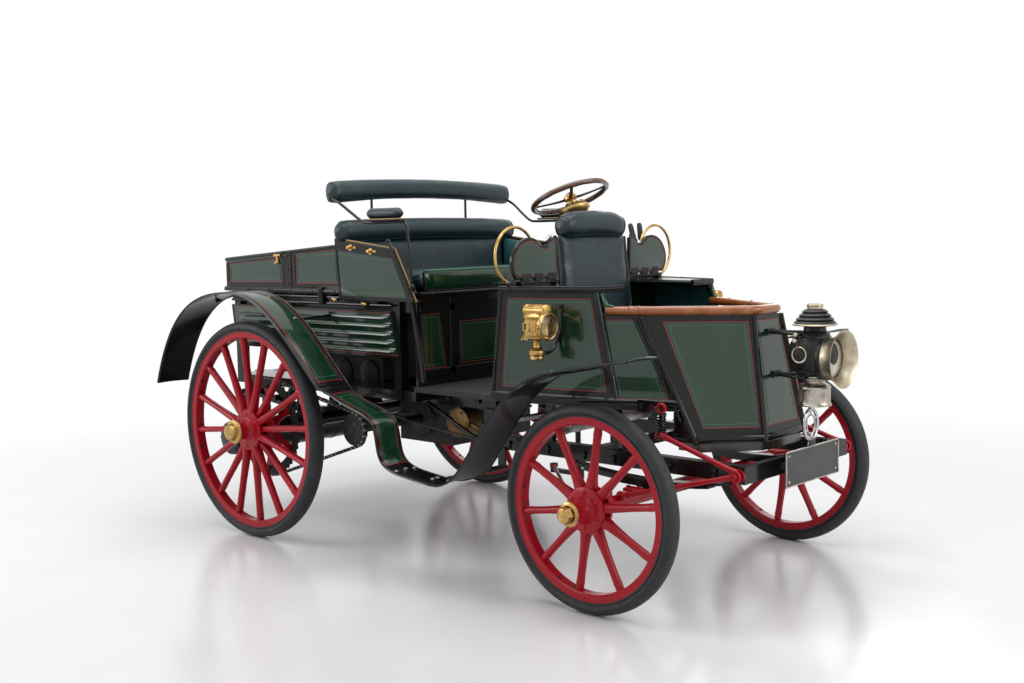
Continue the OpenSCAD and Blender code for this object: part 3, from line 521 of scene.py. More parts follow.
def wheel(tyre_name, rim_r, spokes, hub_r, barrel_l, hexed, stagger):
    """a wooden wheel about its tyre's centre: felloe, spokes, hub and brass cap"""
    w0, w1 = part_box(tyre_name)
    c = (w0 + w1) / 2
    out = Y if c.y > 0 else -Y
    b = Build()
    fh, ri = FELLOE_HALF, rim_r - FELLOE_DEPTH
    # felloe: rounded inner edges, thin steel band outside it
    b.lathe(c, out, [
        (ri + 0.004, -fh), (ri, -fh + 0.005), (ri, fh - 0.005), (ri + 0.004, fh), (rim_r - 0.006, fh),
        (rim_r - 0.006, fh + 0.001), (rim_r, fh + 0.001), (rim_r, -fh - 0.001),
        (rim_r - 0.006, -fh - 0.001), (rim_r - 0.006, -fh)], 128, 0, closed=True)
    # a spoke's sections: (radius, half width round the wheel, half depth along the axle, squareness)
    r0 = hub_r * 0.55
    foot = math.pi * (hub_r + 0.012) / spokes * 0.96
    sections = [
        (r0, math.pi * r0 / spokes * 1.05, 0.021, 1.0), (hub_r - 0.016, min(foot * 0.82, 0.021), 0.021, 0.9),
        (hub_r + 0.004, min(foot * 0.74, 0.0182), 0.0205, 0.7), (hub_r + 0.026, 0.0155, 0.0190, 0.5),
        (hub_r + 0.058, 0.0142, 0.0175, 0.2), (mix(hub_r, ri, 0.5), 0.0128, 0.0162, 0.0),
        (ri - 0.050, 0.0128, 0.0160, 0.0), (ri - 0.032, 0.0135, 0.0162, 0.0),
        (ri - 0.026, 0.0145, 0.0172, 0.0), (ri - 0.016, 0.0132, 0.016, 0.0), (ri + 0.01, 0.0132, 0.016, 0.0)]
    between = circle(spokes, X, Z, 0.75)
    for i, d in enumerate(circle(spokes, X, Z, 0.25)):
        t = d.cross(out).normalized()
        off = stagger * (1 if i % 2 else -1)
        rows = []
        for r, hw, hd, sq in sections:
            o = c + d * r + out * (off * (ri - r) / (ri - r0))
            row = []
            for q in angles(16, 0.5):
                cx, cy = math.cos(q), math.sin(q)
                f = mix(1.0, 1.0 / max(abs(cx), abs(cy)), sq * 0.9)
                row.append(o + t * hw * cx * f + out * hd * cy * f)
            rows.append(row)
        b.grid(rows, 0, close_v=True)
        # bolt heads where the spoke meets the felloe, and between the spokes
        b.bolt(c + d * (ri + 0.0015) + t * 0.024, -d, 0.006, 0.004, 2)
        if i % 2 == 0:
            b.bolt(c + between[i] * (ri + 0.0015) + out * 0.008, -between[i], 0.0075, 0.004, 2)
    # hub: flanges, bolts, barrel
    for side in (1, -1):
        o = c + out * (0.019 * side)
        b.lathe(o, out * side, [(0.001, 0.010), (hub_r * 0.62, 0.010), (hub_r - 0.004, 0.0085),
                                (hub_r, 0.005), (hub_r, -0.004)], 64, 0)
        for d in circle(6, X, Z, 0.5):
            b.lathe(o + d * (hub_r * 0.78) + out * (0.008 * side), out * side,
                    [(0, 0.006), (0.005, 0.0055), (0.0085, 0.003), (0.009, 0.0)], 14, 0)
    rb = BARREL_R
    b.lathe(c + out * 0.024, out, [
        (hub_r * 0.62, 0.004), (rb + 0.010, 0.008), (rb + 0.003, 0.016), (rb, 0.026),
        (rb, barrel_l - 0.012), (rb + 0.002, barrel_l - 0.006), (rb - 0.002, barrel_l), (0.02, barrel_l)], 48, 0)
    b.lathe(c - out * 0.020, -out, [(hub_r * 0.6, 0.006), (rb + 0.008, 0.012), (rb + 0.004, 0.014)], 48, 0)
    # brass cap
    end = c + out * (0.024 + barrel_l)
    if hexed:
        b.lathe(end, out, [(0.034, -0.004), (0.041, -0.001), (0.042, 0.004), (0.036, 0.008), (0.030, 0.009)], 48, 1)
        b.lathe(end, out, [(0.029, 0.008), (0.0295, 0.028), (0.026, 0.036), (0.014, 0.041), (0.0, 0.042)], 6, 1)
        b.lathe(end, out, [(0.0255, 0.009), (0.0255, 0.034), (0.012, 0.0405), (0.0, 0.0425)], 24, 1)
    else:
        b.lathe(end, out, [
            (0.034, -0.006), (0.050, -0.004), (0.0515, 0.0), (0.0495, 0.006), (0.042, 0.009), (0.036, 0.010),
            (0.0345, 0.014), (0.034, 0.026), (0.030, 0.031), (0.012, 0.033), (0.0, 0.033)], 48, 1)
    return b, c, out


def tyre(name, body, r, rim_r):
    w0, w1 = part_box(name)
    c = (w0 + w1) / 2
    e = (w1.y - w0.y) / 2
    # half of the section, from the bead to the crown; the other half is its mirror image
    half = [(rim_r - 0.001, 0.0215), (rim_r + 0.001, 0.0255), (rim_r + 0.006, 0.0262), (rim_r + 0.007, 0.0235),
            (rim_r + 0.010, 0.0265), (rim_r + 0.015, e - 0.0015), (r - 0.024, e), (r - 0.015, e - 0.003),
            (r - 0.0065, e - 0.010), (r - 0.0018, e - 0.019), (r, 0.006)]
    b = Build()
    b.lathe(c, Y if c.y > 0 else -Y, [(q, -h) for q, h in half] + half[::-1], 160, 0, closed=True)
    b.done(name + "_rubber", body, [rubber], "tyre", (name,), angle=30)


for side in ("right", "left"):
    node = "front_wheel_" + side
    b, c, out = wheel("front_tyre_" + side, FRONT_RIM, 10, 0.078, 0.078, True, 0.0)
    # inner hub sleeve
    b.lathe(c - out * 0.02, -out, [(0.03, 0.0), (0.046, 0.004), (0.044, 0.013), (0.0205, 0.0138)], 40, 0)
    b.done(node + "_wood", node, [red, brass, iron], "red_paint", (node,))
    tyre("front_tyre_" + side, node, FRONT_R, FRONT_RIM)
    # rear, with the chain wheel on its inner side: toothed ring, six arms and a boss
    node = "rear_wheel_" + side
    b, c, out = wheel("rear_tyre_" + side, REAR_RIM, 16, 0.086, 0.066, False, 0.009)
    o = c - out * 0.092
    near, far = o + out * 0.008, o + out * 0.0008
    ring = toothed(46, 0.2025, 0.2095, X, Z)
    hole = [v * 0.168 for v in circle(46 * 4, X, Z)]
    b.grid([[near + p for p in hole], [near + p for p in ring], [far + p for p in ring], [far + p for p in hole]],
           2, close_u=True, close_v=True)
    for d in circle(6, X, Z, 0.5):
        t = d.cross(out)
        b.grid([[o + out * depth + d * r + t * h * f for depth, f in ((0.008, 1), (0.001, 1), (0.001, -1),
                (0.008, -1))]
                for r, h in ((0.040, 0.026), (0.075, 0.016), (0.13, 0.012), (0.172, 0.022))], 3, close_v=True)
        b.bolt(near + d * 0.18, out, 0.008, 0.006, 2)
    b.lathe(o, out, [(0.0205, 0.001), (0.052, 0.001), (0.052, 0.012), (0.045, 0.02), (0.044, 0.06), (0.05, 0.075)],
            48, 3)
    b.done(node + "_wood", node, [red, brass, iron, red], "red_paint", (node,))
    tyre("rear_tyre_" + side, node, REAR_R, REAR_RIM)

# ---------------------------------------------------------------------------
# front tub: bowed sides, bow and nose with bands, lines and mouldings
# ---------------------------------------------------------------------------
TOP = [(1250, 472), (1602, 354), (1752, 288), (2070, 80)]
FLOOR_Z, SHELF_Z, RIM_Z, BOW_Z = 670, 1060, 975, 548
EDGE_Z = BOW_Z + 14
foot = (1990, 300)
low_nose = (2142, 126)
k = (RIM_Z - FLOOR_Z) / (RIM_Z - BOW_Z)
bend_low = (mix(TOP[2][0], foot[0], k), mix(TOP[2][1], foot[1], k))
LOW = [(1200, 472), (1712, 380), bend_low]
tub = Build()
T_PANEL = 0.014
for s in (-1, 1):
    out = V(0.3, s, 0.1)

    def q3(xy, z, grow=8):
        return P(xy[0], s * (xy[1] + grow), z)
    side = Quad(q3(TOP[0], SHELF_Z), q3(TOP[1], SHELF_Z), q3(LOW[1], FLOOR_Z), q3(LOW[0], FLOOR_Z), out)
    side.board(tub, T_PANEL, 0)
    side.trim(tub, (0.030, 0.024, 0.030, 0.040), (1, 2, 3))
    rim1, rim2 = q3(TOP[1], RIM_Z), q3(TOP[2], RIM_Z)
    cheek = Quad(rim1, rim2, q3(LOW[2], FLOOR_Z), q3(LOW[1], FLOOR_Z), out)
    cheek.board(tub, T_PANEL, 0)
    cheek.trim(tub, (0.004, 0.014, 0.030, 0.022), (1, 2, 3))
    bow = Quad(q3(TOP[2], RIM_Z), P(TOP[3][0] + 6, s * (TOP[3][1] + 6), RIM_Z), P(low_nose[0] + 5,
            s * (low_nose[1] + 6), BOW_Z), q3(foot, BOW_Z), V(0.6, s, 0))
    bow.board(tub, T_PANEL, 0, 14)
    bow.trim(tub, (0.052, 0.020, 0.016, 0.052), (1, 2, 3))
    # mouldings: round bars with a fillet on the edges
    for pa, pb, r in ((q3(TOP[1], SHELF_Z - 4, 10), q3(LOW[1], FLOOR_Z, 10), 0.009),
                      (q3(TOP[2], RIM_Z - 2, 11), q3(foot, BOW_Z, 11), 0.011),
                      (q3((TOP[2][0] - 26, TOP[2][1] + 12), RIM_Z - 2, 10), q3((foot[0] - 60, foot[1] + 6),
                              BOW_Z + 70, 10), 0.007),
                      (P(TOP[3][0] + 8, s * (TOP[3][1] + 7), RIM_Z - 2), P(low_nose[0] + 8, s * (low_nose[1] + 7),
                              BOW_Z), 0.010),
                      (q3(TOP[0], SHELF_Z, 9), q3(LOW[0], FLOOR_Z, 9), 0.008)):
        tub.tube([mix(pa, pb, i / 12) for i in range(13)], r, 12, 1)
    # sill moulding along the floor, and the heavy lower band of the bow
    sill = [q3(LOW[0], FLOOR_Z + 8, 10), q3(LOW[1], FLOOR_Z + 8, 10), q3(LOW[2], FLOOR_Z + 8, 10)]
    tub.tube(sill, 0.010, 10, 1, flat=1.4)
    n = (bow.at(0.5, 0.9, 1) - bow.at(0.5, 0.9, 0)).normalized()
    for i in range(5):
        tub.bolt(bow.at((i + 0.5) / 5, 0.955, 0.003), n, 0.008, 0.004, 1, 10)
    # iron side of the foot-well, below the floor
    tub.slab([P(foot[0] - 100, s * 305, FLOOR_Z - 22), P(bend_low[0] + 4, s * 305, FLOOR_Z - 22),
              P(foot[0], s * 305, BOW_Z + 1), P(foot[0] - 100, s * 305, BOW_Z + 1)],
             V(0, -s * 0.01, 0), 1)
# nose
nose = Quad(P(2077, -84, RIM_Z), P(2077, 84, RIM_Z), P(2149, 130, BOW_Z), P(2149, -130, BOW_Z), X)
nose.board(tub, T_PANEL, 0)
nose.trim(tub, (0.014, 0.018, 0.014, 0.052), (1, 2, 3))
# lower edge band that runs round the bow
a, b, c, d = (P(x, y, EDGE_Z) for x, y in ((1900, -307), (1994, -309), (2146, -134), (2152, -70)))
half = [a, b, mix(b, c, 0.5), c, d]
ring = half + [V(p.x, -p.y, p.z) for p in reversed(half)]
tub.tube(ring, 0.009, 10, 1, flat=1.6)
# dark board showing below that band: partly the board's own wood, darkened as painted shade under the band
middle = P(1960, 0, EDGE_Z)
under = [mix(p, middle, 0.045) for p in ring]
inner = [mix(p, middle, 0.012) for p in under]
under_low, inner_low = ([p - Z * 0.046 for p in row] for row in (under, inner))
for rows in ([under, under_low], [inner, inner_low], [under_low, inner_low]):
    tub.grid(rows, 4)
# side plates with two bolts, and the red eye of the spring stay
for s in (-1, 1):
    tub.block(P(1851, s * 398, 676), (0.045, 0.005, 0.024), 1, 0.003)
    for x in (1826, 1870):
        tub.bolt(P(x, s * 403, 676), Y * s, 0.010, 0.008, 1)
    o = P(1906, s * 398, 674)
    tub.tube([o + v for v in circle(28, X * 0.015, Z * 0.013)], 0.0062, 10, 5, closed=True)
    tub.rod(o - Y * s * 0.012, o + Y * s * 0.010, 0.0075, 12, 1)
    tub.rod(o - X * 0.018, o - X * 0.034, 0.007, 12, 5)
# floor of the foot-well and its rear wall
tub.slab([P(x, y, BOW_Z + 8) for x, y in ((1890, -298), (1985, -298), (2138, -124), (2138, 124), (1985, 298),
                                          (1890, 298))],
         Z * -0.008, 1)
tub.block(P(1897, 0, 599), (0.007, 0.300, 0.050), 1)
# back wall of the front seat
back = Quad(P(1250, -470, SHELF_Z), P(1250, 470, SHELF_Z), P(1250, 470, FLOOR_Z), P(1250, -470, FLOOR_Z), -X)
back.board(tub, 0.014, 0)
back.trim(tub, (0.03, 0.03, 0.03, 0.03), (1, 2, 3))
tub.done("front_tub_panels", "car_body", [green, black, stripe_red, stripe_green, wood_painted_shade, red], "green_paint",
         ("front_tub",), angle=30)

# scroll brackets between the shelves and the rail
scroll = Build()
for s in (-1, 1):
    plate = [P(x, s * y, z) for x, y, z in ((1604, 352, 1058), (1604, 352, 984), (1672, 323, 984),
                                            (1668, 325, 1000),
                                            (1650, 332, 1008), (1628, 342, 1016), (1618, 346, 1036))]
    scroll.slab(plate, V(0.004, -s * 0.011, 0), 0)
    line = [P(x, s * y, z) for x, y, z in ((1620, 350, 1056), (1620, 350, 1036), (1632, 345, 1017),
                                           (1652, 335, 1008), (1672, 326, 996))]
    scroll.tube(smooth_path(line, 6), 0.003, 8, 1)
scroll.done("scroll_brackets", "car_body", [green, stripe_green], "green_paint")

# bamboo rail, with its knots
bam = Build()
zr = RIM_Z + 17.3
path = [P(x, y, zr) for x, y in ((1626, -336), (1752, -288), (2058, -90), (2076, -62), (2078, 0),
                                 (2076, 62), (2058, 90), (1752, 288), (1626, 336))]
fine = []
for i in range(len(path) - 1):
    n = 40 if (path[i + 1] - path[i]).length > 0.2 else 14 if i not in (2, 3, 4, 5) else 6
    fine += [mix(path[i], path[i + 1], j / n) for j in range(n)]
fine.append(path[-1])
for _ in range(6):
    fine = [fine[0]] + [(fine[i - 1] + fine[i] * 2 + fine[i + 1]) / 4 for i in range(1, len(fine) - 1)] + [fine[-1]]
knots = [P(x, y, zr) for x, y in ((1706, -306), (1738, -294), (2044, -98), (2044, 98), (1738, 294), (1900, 190))]
CANE_R = 0.0166
radii = [CANE_R + 0.0012 * math.exp(-(min((p - q).length for q in knots) / 0.008) ** 2) for p in fine]
bam.tube(fine, CANE_R, 20, 0, radii=radii)
for q in knots:
    i = min(range(len(fine)), key=lambda j: (fine[j] - q).length)
    d = (fine[min(i + 1, len(fine) - 1)] - fine[max(i - 1, 0)]).normalized()
    bam.lathe(q, d, [(0.0172, -0.0035), (0.0183, -0.001), (0.0176, 0.0), (0.0183, 0.001), (0.0172, 0.0035)], 24, 1)
bam.done("bamboo_cane", "car_body", [bamboo, bamboo_dark], "bamboo", ("bamboo_rail",))

# shelves with a moulded edge
sh = Build()
for s in (-1, 1):
    z0 = SHELF_Z + 1
    loop = [P(x, s * y, z0) for x, y in ((1244, 486), (1420, 427), (1610, 364), (1612, 222), (1244, 222))]
    sh.slab([p + Z * 0.016 for p in loop], Z * -0.016, 0)
    edge = loop[:4]
    for dz, r in ((0.0145, 0.0052), (0.0065, 0.0072), (-0.001, 0.0045)):
        sh.tube([p + Z * dz for p in edge], r, 10, 0)
    for y in (222, 224):
        sh.tube([P(1250, s * y, z0 + 6), P(1606, s * y, z0 + 6)], 0.007, 10, 0)
    # hinge eyes of the wing
    for y in (426, 232):
        sh.lathe(P(WING_X, s * y - 4, WING_Z), Y, [(0.0041, 0), (0.009, 0), (0.009, 0.008), (0.0041, 0.008)], 20, 1,
                 closed=True)
        sh.block(P(WING_X, s * y, 1080), (0.009, 0.004, 0.006), 1)
sh.done("shelf_mouldings", "car_body", [black, iron], "black_paint", ("shelves",))

# ---------------------------------------------------------------------------
# fenders and steps: one sheet each side, with borders, lines and a rolled edge
# ---------------------------------------------------------------------------
def bz2(pts, n):
    q = [V(a, 0, b) for a, b in pts]
    return [bez(q, i / n) for i in range(n + 1)]


rear_run = bz2([(-597.5, 625), (-470, 982), (-260, 1042), (-20, 1042)], 30) + bz2([(-20, 1042), (220, 1038),
        (370, 842), (548, 684)], 30)[1:]
mid_run = bz2([(548, 684), (700, 600), (800, 620), (850, 560)], 16) + bz2([(850, 560), (880, 480), (850, 420),
        (960, 395)], 16)[1:]
tread_run = [V(960 + (1170 - 960) * i / 10, 0, 395 - 23 * (i / 10) ** 0.8) for i in range(1, 11)]
front_run = bz2([(1170, 372), (1300, 376), (1400, 760), (1690, 812)], 30) + bz2([(1690, 812), (1800, 832),
        (1900, 850), (2010, 866)], 12)[1:]
whole = rear_run + mid_run[1:] + tread_run + front_run[1:]
PLAN = ([(-620, -788), (548, -788), (600, -770), (1150, -770), (1230, -736), (2020, -724)],
        [(-620, -632), (548, -632), (600, -650), (1150, -650), (1230, -558), (2020, -568)])


def along(table, x):
    for (x0, y0), (x1, y1) in zip(table, table[1:]):
        if x <= x1:
            return mix(y0, y1, (x - x0) / (x1 - x0))
    return table[-1][1]


def normal_at(run, i):
    t = run[min(i + 1, len(run) - 1)] - run[max(i - 1, 0)]
    return V(-t.z, 0, t.x).normalized()


def fender_point(run, i, s, side, h, crown=5.0):
    p = run[i]
    n = normal_at(run, i)
    y = mix(along(PLAN[0], p.x), along(PLAN[1], p.x), s)
    q = p + n * (h + crown * (1 - (2 * s - 1) ** 2))
    return P(q.x, y * side, q.z)


for side_name, side in (("right", 1), ("left", -1)):
    b = Build()

    def band(i0, i1, s0, s1, h, mat, steps=1, crown=5.0):
        b.grid([[fender_point(whole, i, mix(s0, s1, j / steps), side, h, crown) for j in range(steps + 1)]
                for i in range(i0, i1 + 1)], mat)
    nr, nm, nt = len(rear_run), len(mid_run) - 1, len(tread_run)
    last = len(whole) - 1
    # upper sheet, and the black underside
    band(0, last, 0, 1, 2.0, 1, 12)
    band(0, last, 0, 1, -1.5, 1, 12)
    for s in (0, 1):
        b.tube([fender_point(whole, i, s, side, 0.2) for i in range(last + 1)], 0.0042, 8, 1)
    for i in (0, last):
        b.tube([fender_point(whole, i, j / 12, side, 0.2) for j in range(13)], 0.0036, 8, 1)
    # painted fields with their two lines: rear fender and riser; the front one is plain black
    for i0, i1 in ((2, nr - 2), (nr + 1, nr + nm - 4)):
        e = 0.105
        band(i0, i1, e, 1 - e, 2.35, 0, 12)
        for a, b_, m, k in ((e, e + 0.020, 3, 0), (1 - e - 0.020, 1 - e, 3, 0),
                            (e + 0.085, e + 0.098, 4, 1), (1 - e - 0.098, 1 - e - 0.085, 4, 1)):
            band(i0 + k, i1 - k, a, b_, 2.7, m, 2)
        for i, m, s0, w in ((i0, 3, e, 1.3), (i1, 3, e, 1.3), (i0 + 1, 4, e + 0.085, 0.9), (i1 - 1, 4, e + 0.085,
                0.9)):
            t = (fender_point(whole, min(i + 1, last), 0.5, side, 0)
                 - fender_point(whole, max(i - 1, 0), 0.5, side, 0)).normalized()
            b.grid([[fender_point(whole, i, mix(s0, 1 - s0, j / 12), side, 2.75) + t * q * MM for j in range(13)]
                    for q in (-w, w)], m)
    # ribs of the tread and its bolts
    for k in range(nr + nm + 1, nr + nm + nt + 2):
        b.tube([fender_point(whole, k, mix(0.12, 0.88, j / 6), side, 2.6) for j in range(7)], 0.0028, 6, 1)
    for k in (nr + nm - 1, nr + nm + nt + 2):
        for s in (0.12, 0.5, 0.88):
            b.bolt(fender_point(whole, k, s, side, 2.5), Z, 0.009, 0.006, 2)
    # joint bead across the foot of the rear fender
    for k in (nr - 1, nr):
        b.tube([fender_point(whole, k, j / 10, side, 2.4) for j in range(11)], 0.003, 8, 1)
    # irons
    for k, y, z in ((18, 481.5, DECK_Z), (44, 486, 940)):
        a = whole[k]
        b.rod(P(a.x, -670 * side, a.z - 3), P(a.x, -y * side, z), 0.0062, 12, 1)
        b.bolt(P(a.x, -670 * side, a.z + 5), Z, 0.009, 0.005, 2)
    c = front_run[28]
    b.rod(P(c.x, -644 * side, c.z - 3), P(c.x, -(330 + (1752 - c.x) * 0.6) * side, c.z), 0.0062, 12, 1)
    b.bolt(P(c.x, -644 * side, c.z + 6), Z, 0.009, 0.005, 2)
    b.block(P(1120, -520 * side, 373), (0.020, 0.170, 0.005), 1)
    b.block(P(1120, -352 * side, 408), (0.020, 0.0045, 0.040), 1)
    for q in (0.3, 0.7):
        b.bolt(P(1120, mix(-740, -680, q) * side, 384), Z, 0.010, 0.007, 2)
    b.done("fender_sheet_" + side_name, "car_body", [green, black, steel, stripe_red, stripe_green], "green_paint",
           ("fender_" + side_name,), angle=40)

# ---------------------------------------------------------------------------
# folding seat wings: lobed fins with lines and hinge leaves
# ---------------------------------------------------------------------------
for side_name, side in (("right", 1), ("left", -1)):
    b = Build()
    lobe = smooth_path([V(0, y, z) for y, z in (
        (-248, 1240), (-270, 1228), (-296, 1224), (-312, 1227), (-330, 1240), (-352, 1252), (-380, 1255),
        (-412, 1250), (-442, 1234), (-464, 1210), (-478, 1180), (-480, 1150), (-472, 1124), (-456, 1103))], 4)
    shape = [(-224, 1101), (-224, 1246)]
    shape += [(-232 - 2 * i, 1249 + 3 * math.sin(i / 8 * math.pi) - i * 1.2) for i in range(1, 9)]
    shape += [(p.y, p.z) for p in lobe]

    def at(y, z, x):
        return P(WING_X + x, y * side, z)
    n = len(shape)
    cy = sum(p[0] for p in shape) / n
    cz = sum(p[1] for p in shape) / n

    def inset(d):
        out = []
        for i in range(n):
            (ax, az), (bx, bz) = shape[i - 1], shape[(i + 1) % n]
            tx, tz = bx - ax, bz - az
            l = math.hypot(tx, tz) or 1
            px, pz = shape[i][0] + tz / l * d, shape[i][1] - tx / l * d
            if (px - cy) ** 2 + (pz - cz) ** 2 > (shape[i][0] - cy) ** 2 + (shape[i][1] - cz) ** 2:
                px, pz = shape[i][0] - tz / l * d, shape[i][1] + tx / l * d
            out.append((px, pz))
        return out

    def strip(mat, *steps):
        b.grid([[at(y, z, f * h) for y, z in inset(d)] for d, h in steps], mat, close_v=True)
    for f in (1, -1):
        strip(1, (0, 0), (0.4, 4.5), (2.5, 6.6), (5, 6.9))
        b.add([at(y, z, f * 6.9) for y, z in inset(5)], [tuple(range(n))], 0)
        strip(1, (5, 6.95), (12, 7.2))
        strip(2, (13, 7.3), (15, 7.3))
        strip(3, (23, 7.3), (24.4, 7.3))
    # hinge barrel and leaves with screws
    b.lathe(P(WING_X, -421 * side, WING_Z), Y * side, [(0.0035, 0), (0.0058, 0), (0.0058, 0.184), (0.0035, 0.184)],
            20, 4)
    b.lathe(P(WING_X, -432 * side, WING_Z), Y * side, [(0, 0), (0.0038, 0), (0.0038, 0.206), (0, 0.206)], 16, 4)
    for y in (-400, -330, -260):
        for f in (1, -1):
            b.block(at(y, 1110, f * 7.6), (0.0012, 0.022, 0.013), 4, 0.0006)
            for d in (-13, 0, 13):
                b.lathe(at(y + d, 1112 + (3 if d else -3), f * 8.8), X * f, [(0, 0.0012), (0.002, 0.001),
                        (0.0028, 0)], 12, 4)
        b.block(at(y, 1096, 0), (0.0035, 0.022, 0.006), 4, 0.0006)
    b.done("wing_panel_" + side_name, "wing_" + side_name, [green, black, stripe_red, stripe_green, iron],
           "green_paint", ("wing_" + side_name,), angle=35)

# ---------------------------------------------------------------------------
# seat irons, arm irons and hand rails
# ---------------------------------------------------------------------------
b = Build()
for s in (-1, 1):
    # head rail stays with collars
    foot_p, top_p = P(320, s * 284, 1237), P(320, s * 284, 1443)
    b.rod(foot_p, top_p, 0.0056, 14, 0)
    for q, r in ((0.004, 0.014), (0.010, 0.009), (0.198, 0.010)):
        b.lathe(foot_p, Z, [(0.005, q - 0.003), (r, q - 0.002), (r, q + 0.003), (0.005, q + 0.006)], 20, 0)
    pts = smooth_path([P(346, s * 528, 1430), P(400, s * 526, 1405), P(470, s * 514, 1358), P(520, s * 508, 1328),
                       P(560, s * 507, 1323),
                       P(640, s * 507, 1323), P(740, s * 507, 1323), P(774, s * 507, 1312), P(786, s * 507, 1250),
                       P(794, s * 507, 1150), P(800, s * 507, 1075)], 8)
    b.tube(pts, 0.0058, 12, 0)
    b.lathe(P(346, s * 528, 1430), V(-0.8, 0, 0.6), [(0, 0.010), (0.009, 0.006), (0.011, 0), (0.009, -0.006),
                                                     (0.006, -0.010)], 20, 0)
    # ball foot and its boss on the side of the bench
    b.sphere(P(800, s * 507, 1068), 0.013, 0, 20)
    b.lathe(P(800, s * 507, 1060), Y * -s, [(0.0, -0.006), (0.011, -0.004), (0.011, 0.004), (0.008, 0.007)], 20, 0)
    # hand rail beside the wing, open at its inner lower end
    c = P(1280, s * 435, 1188.3)
    arc = []
    for i in range(41):
        a = math.radians(mix(250, -66, i / 40))
        arc.append(c + V(0, -s * math.cos(a), math.sin(a)) * 0.106)
    b.tube(arc, 0.0056, 12, 1)
    for e in (arc[0], arc[-1]):
        b.sphere(e, 0.0085, 0, 16)
    foot_p = V(arc[-1].x, arc[-1].y, 1.076)
    b.rod(arc[-1], foot_p, 0.0056, 12, 1)
    b.lathe(foot_p, Z, [(0.0, 0.008), (0.012, 0.006), (0.014, 0)], 20, 0)
for s in (-1, 1):
    # strip behind the hinge of the wing
    b.block(P(1290, s * 346, 1085), (0.003, 0.118, 0.010), 0)
b.done("seat_and_arm_irons", "car_body", [black, brass], "black_paint", ("seat_irons",), angle=40)

# ---------------------------------------------------------------------------
# steering column and wheel
# ---------------------------------------------------------------------------
LEAN = math.radians(23)
ax = V(-math.sin(LEAN), 0, math.cos(LEAN))
knee = P(1210, 0, 1350)
b = Build()
b.lathe(P(1210, 0, 670), Z, [(0.0118, 0.002), (0.040, 0.002), (0.040, 0.008), (0.028, 0.012), (0.0235, 0.022),
                             (0.021, 0.026), (0.021, 0.380), (0.0225, 0.383),
                             (0.0225, 0.390), (0.021, 0.393), (0.021, 0.622), (0.026, 0.626), (0.026, 0.642),
                             (0.022, 0.648), (0.0245, 0.656), (0.030, 0.668)], 40, 0)
b.sphere(knee, 0.0315, 0, 32)
b.lathe(knee, ax, [(0.024, 0.016), (0.0285, 0.020), (0.0285, 0.027), (0.0255, 0.029), (0.0255, 0.035),
                   (0.0285, 0.0365), (0.0275, 0.0395), (0.0085, 0.0395)], 40, 0)
# gear case below the wheel: flared bowl, toothed ring and posts
b.lathe(knee, ax, [(0.024, -0.036), (0.036, -0.026), (0.052, -0.006), (0.061, 0.002), (0.0635, 0.007),
                   (0.0635, 0.014), (0.060, 0.017), (0.028, 0.018)], 56, 0)
u, w = frame_of(ax)
teeth = toothed(30, 0.0505, 0.054, u, w)
b.grid([[knee + ax * 0.023 + p * 0.6 for p in teeth], [knee + ax * 0.023 + p for p in teeth],
        [knee + ax * 0.017 + p for p in teeth]], 1, close_v=True)
for v in circle(5, u, w, 0.3):
    b.lathe(knee + v * 0.044 + ax * 0.018, ax,
            [(0.0, 0.018), (0.005, 0.0175), (0.0085, 0.014), (0.0085, 0.006), (0.006, 0.004), (0.006, 0.0)], 18, 0)
# boss beside the head, and the collar below it
b.rod(knee, knee + Y * 0.055, 0.006, 14, 0)
b.sphere(knee + Y * 0.058, 0.010, 0, 18)
b.lathe(knee - Z * 0.045, Z, [(0.02, 0), (0.034, 0.002), (0.034, 0.008), (0.02, 0.010)], 40, 0)
for v in circle(4, X, Y, 0.5):
    b.bolt(P(1210, 0, 670) + v * 0.034 + Z * 0.008, Z, 0.0045, 0.003, 1)
b.done("steering_head", "car_body", [brass, iron], "brass", ("steering_column",), angle=40)

b = Build()
hub = knee + ax * 0.066
w0, w1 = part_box("steering_wheel")
rim_r = (w1.y - w0.y) / 2 - 0.0115
rows = []
for a, d in zip(angles(96), circle(96, u, w)):
    row = []
    for q in angles(16):
        # shallow finger grips on the lower side
        grip = 1 + 0.05 * math.sin(a * 16) * max(0, -math.sin(q))
        row.append(hub + d * (rim_r + 0.0112 * math.cos(q) * grip) + ax * (0.0108 * math.sin(q) * grip))
    rows.append(row)
b.grid(rows, 0, close_u=True, close_v=True)
# iron band let into the inside of the rim, and four flat spokes
b.lathe(hub, ax, [(rim_r - 0.0112, -0.0035), (rim_r - 0.0122, -0.0028), (rim_r - 0.0122, 0.0028), (rim_r - 0.0112,
        0.0035)], 96, 2)
for d in circle(4, u, w, 0.5):
    t = ax.cross(d).normalized()
    b.grid([[hub + d * r + ax * lift + v for v in circle(14, t * hw, ax * h)]
            for r, hw, h, lift in ((0.014, 0.0115, 0.0055, -0.006), (0.04, 0.009, 0.0045, -0.008),
                                   (0.09, 0.0068, 0.0035, -0.005), (rim_r - 0.02, 0.0072, 0.0035, -0.001),
                                   (rim_r - 0.006, 0.010, 0.0035, 0.0))], 2, close_v=True)
    b.lathe(hub + d * (rim_r - 0.018) + ax * 0.003, ax, [(0, 0.0018), (0.0025, 0.0012), (0.003, -0.002)], 12, 2)
b.lathe(hub, ax, [(0.0, 0.014), (0.006, 0.0138), (0.0145, 0.012), (0.0165, 0.010), (0.0165, 0.006), (0.025, 0.004),
                  (0.0265, 0.0), (0.0265, -0.012), (0.022, -0.0155), (0.008, -0.0158)], 40, 1)
b.lathe(hub, ax, [(0.0, 0.0), (0.0078, 0.0), (0.0078, -0.056), (0.0, -0.056)], 20, 1)
b.lathe(hub + ax * 0.0125, ax, [(0.0, 0.005), (0.0085, 0.004), (0.0085, 0)], 6, 2)
